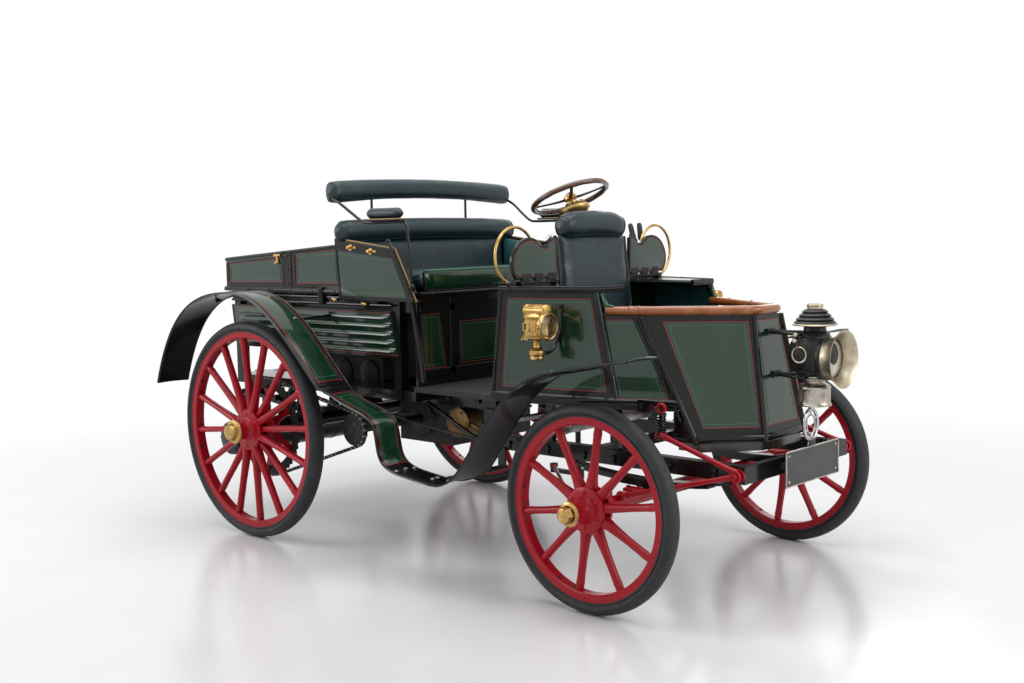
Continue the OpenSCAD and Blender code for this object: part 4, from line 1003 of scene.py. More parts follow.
b.done("steering_rim", "steering_wheel", [dark_wood, brass, iron], "wood", ("steering_wheel",), angle=40)

# ---------------------------------------------------------------------------
# rear body: box, lid, louvres, bench sides, with bands, lines, mouldings and brass
# ---------------------------------------------------------------------------
TRIM = (1, 2, 3)
ROOF_X, ROOF_Z, ROOF_RUN, ROOF_RISE = -482, 1178, 814, 58
slope = math.atan2(ROOF_RISE, ROOF_RUN)


def roof_z(x):
    return ROOF_Z + (x - ROOF_X) * ROOF_RISE / ROOF_RUN


def roof_quad(x0, x1):
    """the top face of the roof or the lid between two places"""
    a, b = roof_z(x0) + 0.6, roof_z(x1) + 0.6
    return Quad(P(x0, -476, a), P(x0, 476, a), P(x1, 476, b), P(x1, -476, b), Z)


def side_quad(x0, x1, y, drop, out):
    """a face of the box's side from the roof, less drop, down to its foot"""
    return Quad(P(x0, y, roof_z(x0) - drop), P(x1, y, roof_z(x1) - drop), P(x1, y, 1050), P(x0, y, 1050), out)


PAINTS = [green, black, stripe_red, stripe_green, brass, iron]
b = Build()
lid = Build()
for s in (-1, 1):
    out = Y * s
    y = s * 478.6
    side_quad(-478, -44, y, 21, out).trim(b, (0.018, 0.006, 0.020, 0.022), TRIM)
    side_quad(12, 330, y, 2, out).trim(b, (0.022, 0.016, 0.010, 0.022), TRIM)
    strap = side_quad(-38, 8, y, 1, out)
    strap.ring(b, (0, 0, 0, 0), (0.02, 0.02, 0.02, 0.02), 0, 0.005, 1)
    strap.face(b, 0.0045, 1, 0.004)
    for t in (0.12, 0.5, 0.88):
        b.bolt(strap.at(0.5, t, 0.005), out, 0.006, 0.004, 5)
    # roof edge of the fixed part
    b.tube([P(-36, s * 479, roof_z(-36) - 4), P(332, s * 479, roof_z(332) - 4)], 0.0065, 12, 1)
    # moulding along the deck edge, bolted
    b.tube([P(-484, s * 483, DECK_Z), P(812, s * 483, DECK_Z)], 0.0098, 14, 1)
    b.tube([P(-484, s * 482, 1046.5), P(330, s * 482, 1046.5)], 0.0045, 10, 1)
    for i in range(9):
        b.bolt(P(-440 + i * 150, s * 492, DECK_Z), out, 0.0055, 0.0035, 5)
    # black tool rail between deck and louvres
    b.block(P(60, s * 474, 1004), (0.500, 0.004, 0.016), 1)
    for z in (1016, 990):
        b.tube([P(-440, s * 479, z), P(650, s * 479, z)], 0.006, 10, 1)
    b.block(P(150, s * 446, 1000), (0.620, 0.002, 0.038), 1)
    # filler with its cap, and two taps
    b.lathe(P(217, s * 489, 985), Z, [(0.0, 0), (0.0145, 0), (0.0145, 0.044), (0.017, 0.045), (0.017, 0.050),
                                      (0.0135, 0.051), (0.0135, 0.058), (0, 0.058)], 24, 1)
    b.lathe(P(217, s * 489, 1042), Z, [(0.0, 0.016), (0.009, 0.0155), (0.0125, 0.012), (0.013, 0), (0, 0)], 20, 5)
    for x, z in ((304, 1006), (493, 992)):
        b.lathe(P(x, s * 478, z), out, [(0, 0.014), (0.006, 0.014), (0.007, 0.010), (0.0055, 0.008), (0.0055, 0.0)],
                18, 4)
        b.rod(P(x - 14, s * 491, z + 6), P(x + 14, s * 491, z + 2), 0.0032, 10, 4)
        b.sphere(P(x + 14, s * 491, z + 2), 0.0048, 4, 12)
    # louvre panel: border, red line, long louvres with rounded ends, and a black strip under each lip as painted
    # shade
    lp = Quad(P(-448, s * 476.4, 966), P(638, s * 476.4, 966), P(686, s * 476.4, 782), P(-420, s * 476.4, 782), out)
    lp.trim(b, (0.004, 0.004, 0.008, 0.008), (1, 2, 2), gap=-0.003, line2=0.0001)
    for i in range(5):
        z = 806 + i * 34
        x0, x1 = -400, 660 - i * 8
        rows = []
        for k in range(49):
            x = mix(x0, x1, k / 48)
            e = min(k, 48 - k) / 2.0
            h = math.sqrt(1 - (1 - min(e, 1.0)) ** 2)
            fall = 0.6 + 0.4 * h
            row = [P(x, s * (476.2 + 11.5 * h * math.sin(q / 8 * math.pi / 2) ** 1.2), z + 13 - 20 * q / 8 * fall)
                   for q in range(9)]
            rows.append(row + [P(x, s * 476.2, z - 7.4 * fall)])
        b.grid(rows, 0)
        # black strip just under each louvre: painted shade of the slot beneath its lip
        b.add([P(x, s * 476.6, z - dz) for x, dz in ((x0 + 20, 9), (x1 - 20, 9), (x1 - 20, 12), (x0 + 20, 12))],
              [(0, 1, 2, 3)], 1)
    # side of the bench: field, charcoal band, leather-coloured piping and brass knobs
    side = Quad(P(338, s * 503, 1257), P(699, s * 503, 1213), P(811, s * 503, 1014), P(356, s * 503, 1014), out)
    side.face(b, 0.0008, 0, 0.004)
    side.trim(b, (0.008, 0.040, 0.034, 0.010), (1, 1, 3), h=0.0035, gap=0.012, line2=0.0015)
    for x, z in ((437, 1224), (560, 1208)):
        o = P(x, s * 506, z)
        b.lathe(o, out, [(0, 0.003), (0.013, 0.0025), (0.014, 0)], 24, 4)
        b.lathe(o, out, [(0, 0.020), (0.006, 0.019), (0.008, 0.015), (0.006, 0.010), (0.004, 0.008),
                         (0.005, 0.003)], 20, 4)
        b.block(o + X * 0.018 + out * 0.002, (0.016, 0.002, 0.0055), 4)
    b.rod(P(672, s * 509, 1243), P(690, s * 509, 1218), 0.006, 12, 1)
    b.tube(smooth_path([P(688, s * 509, 1221), P(722, s * 509, 1162), P(770, s * 509, 1080), P(806, s * 509, 1016)],
                       5), 0.006, 12, 1)
    b.sphere(P(669, s * 509, 1248), 0.0095, 1, 18)
    for x, z in ((722, 1162), (765, 1086)):
        b.lathe(P(x, s * 509, z), out, [(0, 0.007), (0.006, 0.0065), (0.008, 0.004), (0.008, 0)], 14, 1)
    # doorway post
    b.tube([P(744, s * 462, 1026), P(770, s * 464, 900), P(800, s * 466, 780), P(812, s * 468, 690)], 0.010, 14, 1)
    # framed panels on the riser below the bench
    nq = Quad(P(777, s * 448, 962), P(777, s * 338, 962), P(777, s * 300, 735), P(777, s * 440, 735), X)
    nq.trim(b, (0.004, 0.004, 0.004, 0.004), TRIM, h=0.002)
    nq.face(b, 0.0005, 0, 0.005)
big = Quad(P(777, -228, 918), P(777, 228, 918), P(777, 228, 745), P(777, -228, 745), X)
big.face(b, 0.0005, 0, 0.003)
big.trim(b, (0.0, 0.0, 0.0, 0.0), TRIM, h=0.002)
for y in (-270, 270):
    b.block(P(779, y, 850), (0.003, 0.014, 0.170), 1)
for z in (980, 722):
    b.block(P(779, 0, z), (0.003, 0.450, 0.014), 1)
# deck front edge with bolts
b.tube([P(813, -480, DECK_Z), P(813, 480, DECK_Z)], 0.0095, 14, 1)
for i in range(7):
    b.bolt(P(821, -420 + i * 140, DECK_Z), X, 0.006, 0.004, 5)
# back of the box
tail_q = Quad(P(-483, -470, 1152), P(-483, 470, 1152), P(-483, 470, 1056), P(-483, -470, 1056), -X)
tail_q.trim(b, (0.020, 0.008, 0.020, 0.020), TRIM)
# fixed roof in front of the lid
roof_quad(-36, 330).trim(b, (0.016, 0.016, 0.016, 0.016), TRIM, h=0.002)
b.done("rear_body_trim", "car_body", PAINTS, "black_paint", angle=35)

roof_quad(-480, -45).trim(lid, (0.016, 0.016, 0.016, 0.016), TRIM, h=0.002)
for s in (-1, 1):
    lid.tube([P(ROOF_X, s * 478.5, roof_z(ROOF_X) - 6), P(-45, s * 478.5, roof_z(-45) - 6)], 0.0065, 12, 1)
lid.tube([P(ROOF_X, -478, roof_z(ROOF_X) - 5), P(ROOF_X, 478, roof_z(ROOF_X) - 5)], 0.0065, 12, 1)
# latch on the near side: plate, hasp and two knobs; it turns with the lid
o = P(-88, -481, roof_z(-88) - 12)
lid.block(o + V(0, -0.002, -0.004), (0.022, 0.002, 0.008), 4)
lid.block(o + V(0, -0.0035, -0.022), (0.007, 0.0015, 0.018), 4)
for d, r in (((-0.008, -0.004, -0.004), 0.006), ((0.010, -0.004, -0.006), 0.007), ((0, -0.005, -0.036), 0.007)):
    lid.lathe(o + Vector(d), -Y, [(0, 0.012), (r * 0.7, 0.0115), (r, 0.008), (r * 0.7, 0.004), (r * 0.5, 0)], 18, 4)
# bearers under the lid
tilted = (V(math.cos(slope), 0, math.sin(slope)), Y, V(-math.sin(slope), 0, math.cos(slope)))
for x in (-400, -130):
    lid.block(P(x, 0, roof_z(x) - 24), (0.016, 0.420, 0.005), 1, axes=tilted)
lid.done("lid_trim", "rear_lid", PAINTS, "black_paint", angle=35)

# ---------------------------------------------------------------------------
# cushions and padded rolls: inflated by cloth simulation, then piped and seamed
# ---------------------------------------------------------------------------
CLOTH_STIFFNESS, CLOTH_FRAMES = 12.0, 20


def relax(me, times, k=0.5):
    """even out the steps that the remesh leaves"""
    n = len(me.vertices)
    near = [[] for _ in range(n)]
    for e in me.edges:
        a, b = e.vertices
        near[a].append(b)
        near[b].append(a)
    co = [v.co.copy() for v in me.vertices]
    for _ in range(times):
        co = [c.lerp(sum((co[j] for j in near[i]), Vector()) / len(near[i]), k) if near[i] else c
              for i, c in enumerate(co)]
    for v, c in zip(me.vertices, co):
        v.co = c
    me.update()


def inflate(o, voxel, pressure, cap):
    """remesh o evenly, let pressure swell it as cloth, and keep each point within cap metres of its start"""
    sc = bpy.context.scene
    r = o.modifiers.new("remesh", "REMESH")
    r.mode = "VOXEL"
    r.voxel_size = voxel
    me = bpy.data.meshes.new_from_object(o.evaluated_get(bpy.context.evaluated_depsgraph_get()))
    o.modifiers.clear()
    old = o.data
    mats = list(old.materials)
    o.data = me
    bpy.data.meshes.remove(old)
    me.materials.clear()
    for m in mats:
        me.materials.append(m)
    relax(me, 3)
    start = [v.co.copy() for v in me.vertices]
    c = o.modifiers.new("cloth", "CLOTH")
    s = c.settings
    s.quality = 4
    s.mass = 0.25
    s.tension_stiffness = s.compression_stiffness = CLOTH_STIFFNESS
    s.shear_stiffness = CLOTH_STIFFNESS / 2
    s.bending_stiffness = 0.6
    s.use_pressure = True
    s.uniform_pressure_force = pressure
    s.effector_weights.gravity = 0.0
    c.collision_settings.use_collision = False
    for f in range(1, CLOTH_FRAMES + 1):
        sc.frame_set(f)
    swollen = o.evaluated_get(bpy.context.evaluated_depsgraph_get())
    end = [v.co.copy() for v in swollen.to_mesh().vertices]
    swollen.to_mesh_clear()
    o.modifiers.clear()
    sc.frame_set(1)
    for v, a, b in zip(me.vertices, start, end):
        d = b - a
        if d.length > cap:
            d *= cap / d.length
        v.co = a + d
    relax(me, 2, 0.4)
    me.polygons.foreach_set("use_smooth", [True] * len(me.polygons))
    me.update()
    sub = o.modifiers.new("sub", "SUBSURF")
    sub.levels = 1
    sub.render_levels = 1


def pad(name, b, node, voxel, pressure, cap):
    """a leather pad on the body, swollen from the shape in b"""
    o = b.done(name, "car_body", [leather], "leather", (node,))
    inflate(o, voxel, pressure, cap)
    return o


def skin(o):
    return BVHTree.FromPolygons([v.co for v in o.data.vertices], [tuple(p.vertices) for p in o.data.polygons])


def on_skin(tree, pts, lift=0.0):
    out = []
    for p in pts:
        q, n = tree.find_nearest(p)[:2]
        out.append(q + n * lift)
    return out


def middle_of(o):
    return sum((v.co for v in o.data.vertices), Vector()) / len(o.data.vertices)


def ring_round(o, plane_o, plane_n):
    """a loop of points where a plane cuts the pad's skin"""
    t = skin(o)
    pts = []
    for d in circle(72, *frame_of(plane_n)):
        hit, n = t.ray_cast(plane_o + d * 0.6, -d)[:2]
        if hit is not None:
            pts.append(hit + n * 0.0008)
    return pts


def soft_square(n, e):
    """points round a square with soft corners, from -1 to 1"""
    out = []
    for a in angles(n):
        x, y = math.cos(a), math.sin(a)
        k = (abs(x) ** e + abs(y) ** e) ** (-1 / e)
        out.append((x * k, y * k))
    return out


def roll_shape(c, half, ry, rz, m=36, squareness=0.35, bow=0.0, tuck=0.045, fold=0.0, foot=0.0):
    """a long roll along Y with soft rounded ends, its middle standing bow higher"""
    b = Build()
    n = 28
    rows = []
    for i in range(m + 1):
        y = half * (-1 + 2 * i / m)
        e = max(0.0, (abs(y) - (half - tuck)) / tuck)
        k = math.sqrt(max(0.0, 1 - e ** 2.6))
        row = []
        for a in angles(n):
            cx, cz = math.cos(a), math.sin(a)
            f = mix(1.0, 1.0 / max(abs(cx), abs(cz)), squareness * 0.6)
            g = 1 + fold * math.cos(a * 9) * (1 if 0.1 < e < 0.9 else 0)
            kz = k if cz > 0 else mix(k, 1, foot)
            row.append(c + V(ry * cx * f * mix(k, 1, foot * 0.6) * g, y,
                                   rz * cz * f * kz * g + bow * (1 - (y / half) ** 2)))
        rows.append(row)
    rows[0] = [sum(rows[0], Vector()) / n] * n
    rows[-1] = [sum(rows[-1], Vector()) / n] * n
    b.grid(rows, 0, close_v=True)
    return b


def wedge(points, half):
    """a thick plate across the car: points are (x, z) of its side"""
    b = Build()
    b.slab([P(x, -half, z) for x, z in points], Y * (2 * half * MM), 0)
    return b


def box_shape(c, half, bev):
    b = Build()
    b.block(c, half, 0, bev)
    return b


back_pad = pad("front_back_pad", wedge([(1276, 1268), (1302, 1268), (1352, 766), (1286, 766)], 207),
               "front_seat_back", 0.0075, 4.0, 0.010)
roll_pad = pad("front_head_roll",
               roll_shape(P(1289, 0, 1297), 0.194, 0.045, 0.050, squareness=0.3, bow=0.008, tuck=0.105, foot=0.75),
               "front_seat_back", 0.006, 4.0, 0.008)
front_cushion = pad("front_cushion", box_shape(P(1530, 0, 805), (0.172, 0.204, 0.036), 0.020),
                    "front_seat_cushion", 0.008, 4.5, 0.014)
bench_cushion = pad("bench_seat_pad", box_shape(P(606, 0, 1086), (0.194, 0.452, 0.032), 0.018),
                    "bench_cushion", 0.009, 4.5, 0.012)
pad("bench_back_pad", wedge([(342, 1268), (398, 1268), (416, 1050), (342, 1050)], 452),
    "bench_back", 0.009, 4.5, 0.012)
bench_roll = pad("bench_back_roll",
                 roll_shape(P(379, 0, 1287), 0.536, 0.045, 0.049, m=60, squareness=0.15, bow=0.012, tuck=0.07,
                            fold=0.02),
                 "bench_back", 0.0075, 4.0, 0.006)
head_rail = pad("head_rail_pad",
                roll_shape(P(342, 0, 1451), 0.540, 0.038, 0.046, m=60, squareness=0.55, bow=0.020, tuck=0.034),
                "head_and_arm_pads", 0.0075, 4.0, 0.004)
arms = [pad("arm_pad_" + side, box_shape(P(668, s * 520, 1358), (0.100, 0.026, 0.022), 0.018),
            "head_and_arm_pads", 0.0045, 4.0, 0.007) for s, side in ((-1, "right"), (1, "left"))]

# seams, piping, bindings, seat base and valance
b = Build()
t = skin(back_pad)
for s in (-1, 1):
    # black binding down each edge of the front seat back, with a cord and an iron post
    line, edge = (on_skin(t, [P(mix(1312, 1360, i / 24), s * y, 1240 - 440 * i / 24) for i in range(25)], lift)
                  for y, lift in ((196, 0.0006), (206, 0.0008)))
    b.grid([on_skin(t, [mix(p, q, k) for k in (0.0, 0.33, 0.66, 1.0)], 0.0012) for p, q in zip(line, edge)], 1)
    b.tube(line, 0.0018, 8, 0)
    b.tube([P(1290 + 52 * i / 12, s * 212, 1252 - 474 * i / 12) for i in range(13)], 0.0052, 10, 1)
for o, y in ((roll_pad, 0.172), (bench_roll, 0.498), (head_rail, 0.518)):
    for s in (-1, 1):
        c = middle_of(o)
        pts = ring_round(o, V(c.x, s * y, c.z), Y)
        if len(pts) > 30:
            b.tube(pts, 0.0017, 8, 0, closed=True)
# long seams along the lower edges of the head rail and of both rolls
for o, dz, dx in ((head_rail, -0.030, 0.022), (bench_roll, -0.034, 0.020), (roll_pad, -0.036, 0.018)):
    c = middle_of(o)
    half = max(abs(v.co.y) for v in o.data.vertices) - 0.04
    row = [V(c.x + dx, -half + 2 * half * i / 60, c.z + dz) for i in range(61)]
    b.tube(on_skin(skin(o), row, 0.0003), 0.0016, 8, 0)
# piping at the foot of the arm pads, on a narrow board
for s in (-1, 1):
    loop = [P(668 + 104 * x, s * 520 + 27.5 * y, 1336) for x, y in soft_square(64, 4)]
    b.tube(loop, 0.0022, 8, 2, closed=True)
    b.slab([p - Z * 0.0022 for p in loop], Z * -0.004, 1)
# front seat base: a black box with a moulding
b.block(P(1478, 0, 716), (0.196, 0.200, 0.044), 1, 0.004)
b.tube([P(x, y, 757) for x, y in ((1290, -202), (1676, -202), (1676, 202), (1290, 202))], 0.004, 8, 1)
# cushion edge piping
for o, x0, x1, hy, z in ((front_cushion, 1366, 1696, 198, 832), (bench_cushion, 430, 800, 446, 1110)):
    loop = [P((x0 + x1) / 2 + (x1 - x0) / 2 * x, hy * y, z) for x, y in soft_square(120, 6)]
    b.tube(on_skin(skin(o), loop, 0.0010), 0.0026, 8, 0, closed=True)
b.done("seat_seams", "car_body", [leather, black, piping], "leather", angle=50)

# green valance in front of the bench cushion; a pale green tube on its upper edge is a painted highlight
b = Build()
rows = []
for i in range(11):
    z = 1050 + 80 * i / 10
    bulge = max(0.0, math.sin(math.pi * i / 10)) ** 0.6
    rows.append([P(800 + 11 * bulge - (6 if abs(j) > 19 else 0), j * 22.0, z) for j in range(-20, 21)])
b.grid(rows, 0)
b.grid([[p - X * 0.012 for p in r] for r in rows], 0)
# top tube in pale green: painted highlight along the rounded upper edge; the tube at the foot is black
for x, z, r, mat in ((801, 1130, 0.0038, 1), (804, 1051, 0.0030, 2)):
    b.tube([P(x, j * 22.0, z) for j in range(-20, 21)], r, 10, mat)
for s in (-1, 1):
    b.tube([P(800 + 8 * math.sin(math.pi * i / 10), s * 441, 1050 + 80 * i / 10) for i in range(11)], 0.0035, 8, 2)
b.done("bench_valance", "car_body", [green, stripe_green, black], "green_paint", angle=40)

# side bolsters at the ends of the bench and the leather lining of the tub, all in the brightened lining leather:
# painted light
b = Build()
for s in (-1, 1):
    rows = []
    for i in range(15):
        t = i / 14
        x, top = 400 + 262 * t, 1.246 - 0.042 * t
        r = 0.017 * math.sin(math.pi * min(1.0, (t + 0.08) * 0.9)) ** 0.5 + 0.002
        rows.append([P(x, s * 462, 0) + V(0, -s * r * math.cos(a), top - 0.075 + (0.075 + r * 0.2) * math.sin(a))
                     for a in (math.pi * (k / 12 - 0.5) for k in range(13))])
    b.grid(rows, 0)
    # inner face of the bench end
    inner = Quad(P(420, s * 476, 1240), P(690, s * 476, 1206), P(790, s * 476, 1030), P(420, s * 476, 1030), -Y * s)
    inner.face(b, 0.001, 0)
    for x0, z0, x1, z1 in ((338, 1263, 699, 1219), (699, 1219, 817, 1012)):
        b.tube([P(x0, s * 500, z0), P(x1, s * 500, z1)], 0.0036, 10, 1)
    # tub lining, in the lighter lining leather: painted light for the shaded inside of the tub
    def in3(xy, z, grow=-12):
        return P(xy[0], s * (xy[1] + grow), z)
    for corners, z0, z1 in ((((1262, 468), (1598, 356), (1700, 384), (1262, 468)), 1052, 690),
                            (((1604, 353), (1750, 289), (1840, 300), (1700, 360)), 962, 700)):
        tl, tr, br, bl = corners
        Quad(in3(tl, z0), in3(tr, z0), in3(br, z1), in3(bl, z1), -Y * s).face(b, 0.002, 0, 0.004)
b.done("leather_linings", "car_body", [lit_lining, piping], "leather", angle=40)

# ---------------------------------------------------------------------------
# lamps, number plate and blank badge
# ---------------------------------------------------------------------------
def side_plane_y(x, z):
    """the outer face of the tub's side, near side"""
    top = mix(TOP[0][1], TOP[1][1], (x - TOP[0][0]) / (TOP[1][0] - TOP[0][0]))
    low = mix(LOW[0][1], LOW[1][1], (x - LOW[0][0]) / (LOW[1][0] - LOW[0][0]))
    return mix(low, top, (z - FLOOR_Z) / (SHELF_Z - FLOOR_Z)) + 8


b = Build()
LAMP_X = 1475
for s in (-1, 1):
    def q(z, dx=0, dy=0):
        return P(LAMP_X + dx, s * (542 + dy), z)
    # drum, with its rolled edges and the shoulder up to the chimney
    b.lathe(q(905), Z, [(0.0, -0.001), (0.050, -0.001), (0.0535, 0.001), (0.0535, 0.005), (0.049, 0.007),
                        (0.0455, 0.010), (0.0455, 0.070), (0.048, 0.073), (0.048, 0.077),
                        (0.044, 0.080), (0.036, 0.086), (0.028, 0.090), (0.0, 0.090)], 56, 0)
    for z in (918, 972):
        b.lathe(q(z), Z, [(0.045, -0.002), (0.0472, 0), (0.045, 0.002)], 56, 0)
    # chimney: a drum lying fore and aft, with fluted ends
    ch = [(0.0, -0.050), (0.014, -0.050), (0.021, -0.046), (0.0235, -0.042), (0.0235, -0.037), (0.0205, -0.034),
          (0.0205, 0.040), (0.0235, 0.043), (0.0235, 0.050), (0.021, 0.055), (0.013, 0.058), (0.0, 0.058)]
    b.lathe(q(1000), X, ch, 48, 0)
    for d in circle(14, Y, Z):
        if d.z > -0.5:
            b.tube([q(1000, -30) + d * 0.0205, q(1000, 37) + d * 0.0205], 0.0018, 6, 0)
    # lens: bezel, glass and reflector, facing forward
    f = q(946, 26)
    b.lathe(f, X, [(0.030, 0.0), (0.043, 0.004), (0.047, 0.012), (0.0495, 0.020), (0.051, 0.026), (0.0495, 0.031),
                   (0.045, 0.0335), (0.0425, 0.031), (0.042, 0.026)], 64, 0)
    b.lathe(f, X, [(0.0, 0.005), (0.016, 0.0065), (0.030, 0.013), (0.042, 0.0255)], 48, 2)
    b.lathe(f, X, [(0.0, 0.034), (0.018, 0.0333), (0.032, 0.031), (0.0425, 0.0275)], 48, 1)
    b.lathe(f, X, [(0.0, 0.0275), (0.018, 0.027), (0.032, 0.0255), (0.0425, 0.022)], 48, 1)
    # hinge and catch of the lens
    b.rod(q(936, 46, 51), q(956, 46, 51), 0.003, 12, 0)
    b.sphere(q(946, 50, 52), 0.005, 0, 14)
    # side port, square with a small glass
    for dz, dx, hx, hz in ((13, 0, 0.015, 0.003), (-13, 0, 0.015, 0.003), (0, 13, 0.003, 0.015), (0, -13, 0.003,
            0.015)):
        b.block(q(946 + dz, -8 + dx, 44.5), (hx, 0.0030, hz), 0, 0.001)
    b.block(q(946, -8, 43), (0.0115, 0.0012, 0.0115), 1, 0.0008)
    # knob at the back, and the wick winder
    b.lathe(q(905, -52), -X, [(0, 0.012), (0.005, 0.0115), (0.0075, 0.008), (0.006, 0.003), (0.003, 0.0),
                              (0.003, -0.006)], 18, 0)
    b.rod(q(897, -30, 10), q(897, -56, 10), 0.0022, 10, 0)
    b.sphere(q(897, -58, 10), 0.0065, 0, 16)
    # turned pedestal: cone, neck, bowl with its foot
    b.lathe(q(826), Z, [(0.0, 0.0), (0.020, 0.0), (0.0245, 0.003), (0.026, 0.009), (0.0245, 0.013), (0.0275, 0.016),
                        (0.0295, 0.024), (0.028, 0.034), (0.020, 0.041), (0.0125, 0.046),
                        (0.0115, 0.052), (0.0135, 0.055), (0.0135, 0.059), (0.0115, 0.062), (0.013, 0.068),
                        (0.022, 0.074), (0.036, 0.0785), (0.040, 0.080)], 48, 0)

    # bracket: slotted plate on the tub, J-shaped hook
    def wall(z, lift):
        return P(LAMP_X, s * (side_plane_y(LAMP_X, z) + lift), z)
    n = (wall(940, 1) - wall(940, 0)).normalized()
    up_ = (wall(1020, 4) - wall(880, 4)).normalized()
    axes = (up_.cross(n).normalized(), n, up_)
    mid = wall(948, 4)
    b.block(mid, (0.0100, 0.004, 0.070), 3, 0.0015, axes)
    b.block(mid + n * 0.0045, (0.0035, 0.0012, 0.044), 4, 0.0005, axes)
    for t in (-0.058, 0.058):
        b.bolt(mid + up_ * t + n * 0.004, n, 0.0055, 0.005, 3)
    hook = [mid + up_ * -0.030 + n * 0.004, mid + up_ * -0.052 + n * 0.014, wall(868, 26), wall(850, 52),
            q(848, 0, -46), q(858, 0, -24), q(880, 0, -10), q(892)]
    b.tube(smooth_path(hook, 8), 0.0062, 14, 3)
b.done("side_lamp_details", "car_body", [brass, glass, old_brass, black, iron], "brass", ("side_lamps",), angle=38)

b = Build()
BOW_LAMP_X, GLOBE_R = 2254, 0.0855
c = P(BOW_LAMP_X, 0, 843)
# body: a globe of lapped sheets
b.sphere(c, GLOBE_R, 0, 64, squash=(1, 0.96, 0.98))
# lapped seams round the globe
for dx in (0.030, -0.030):
    r = math.sqrt(GLOBE_R ** 2 - dx ** 2)
    b.tube([c + X * dx + v for v in circle(64, Y * (r * 0.965), Z * (r * 0.985))], 0.0016, 6, 0, closed=True)
for z, r in ((-0.055, 0.0665), (0.052, 0.0685)):
    b.tube([c + Z * z + v for v in circle(64, X * r, Y * (r * 0.96))], 0.0018, 6, 0, closed=True)
# front collar and bell mouth
m = P(BOW_LAMP_X, 0, 832)
b.lathe(m, X, [(0.060, 0.040), (0.074, 0.046), (0.0755, 0.050), (0.0755, 0.060), (0.072, 0.063), (0.070, 0.063)],
        72, 0)
bell = [(0.0715, 0.060), (0.0725, 0.070), (0.0760, 0.084), (0.0830, 0.098), (0.0915, 0.109), (0.0965, 0.1140),
        (0.0990, 0.1165), (0.0995, 0.1178), (0.0985, 0.1180),
        (0.0960, 0.1160), (0.0895, 0.1105), (0.0812, 0.100), (0.0742, 0.086), (0.0700, 0.072), (0.0660, 0.070),
        (0.0655, 0.0745), (0.0635, 0.0745), (0.0630, 0.068)]
b.lathe(m, X, bell, 96, 1)
# lens discs in pale cream paint: painted reflection of the lamp's glass and reflector
b.lathe(m, X, [(0.0, 0.052), (0.024, 0.054), (0.046, 0.060), (0.064, 0.069)], 64, 2)
b.lathe(m, X, [(0.0, 0.080), (0.024, 0.079), (0.046, 0.0755), (0.0640, 0.070)], 64, 2)
b.lathe(m, X, [(0.0640, 0.0755), (0.0655, 0.0775), (0.0672, 0.0755)], 64, 0)
# round ports on both sides
for s in (-1, 1):
    o = c + V(-0.006, s * 0.076, 0.004)
    d = Y * s
    b.lathe(o, d, [(0.024, -0.006), (0.0275, 0.002), (0.0285, 0.007), (0.0265, 0.0095), (0.0235, 0.008),
                   (0.0222, 0.004)], 48, 1)
    b.lathe(o, d, [(0.0, 0.0065), (0.012, 0.0060), (0.0225, 0.0035)], 32, 3)


# neck and the four-tier hood
def zb(z):
    return P(BOW_LAMP_X + 8, 0, z)


b.lathe(zb(900), Z, [(0.056, 0.000), (0.050, 0.014), (0.041, 0.022), (0.038, 0.028), (0.038, 0.056)], 56, 0)
b.lathe(zb(944), Z, [(0.034, 0.004), (0.060, 0.0035), (0.0735, -0.001), (0.0765, 0.0005), (0.0768, 0.003),
                     (0.0745, 0.0048), (0.062, 0.010)], 72, 1)
for r0, r1, z0, z1 in ((0.071, 0.060, 0.950, 0.962), (0.064, 0.050, 0.963, 0.975),
                       (0.054, 0.040, 0.976, 0.988), (0.043, 0.030, 0.989, 1.000)):
    b.lathe(zb(0), Z, [(r1 - 0.012, z0 - 0.0005), (r0, z0), (r0 + 0.0012, z0 + 0.001), (r0, z0 + 0.0025),
                       (r1, z1), (r1 - 0.006, z1 + 0.0005)], 72, 0)
    # dark iron quads round the tier stand for its vents: painted shade in the openings
    n = int(r0 * 300)
    p0, p1 = mix(r0, r1, 0.22), mix(r0, r1, 0.68)
    for d in circle(n, X, Y, 0.5):
        rise = d * (p1 - p0) + Z * ((z1 - z0) * 0.46)
        o = zb(0) + d * (p0 + 0.0006) + Z * (mix(z0, z1, 0.22) + 0.0006)
        wide = d.cross(Z) * (math.pi * p0 / n * 0.62)
        b.add([o - wide, o + wide, o + wide * 0.9 + rise, o - wide * 0.9 + rise], [(0, 1, 2, 3)], 3)
b.lathe(zb(998), Z, [(0.030, 0.0), (0.0265, 0.003), (0.0265, 0.010), (0.0285, 0.012), (0.0280, 0.016),
                     (0.022, 0.020), (0.0, 0.0215)], 48, 1)
# tank: nickelled, with shoulders and a rolled foot
b.lathe(zb(668), Z, [
    (0.0, 0.001), (0.050, 0.001), (0.0565, 0.0), (0.0575, 0.004), (0.0545, 0.008), (0.0530, 0.012), (0.0525, 0.056),
    (0.0545, 0.060), (0.0535, 0.066), (0.046, 0.073), (0.038, 0.076), (0.035, 0.079), (0.035, 0.086),
    (0.040, 0.089), (0.040, 0.093), (0.034, 0.096), (0.033, 0.104), (0.045, 0.112)], 64, 4)
for d in circle(12, X, Y):
    b.tube([zb(682) + d * 0.0528, zb(724) + d * 0.0522], 0.0012, 6, 4)
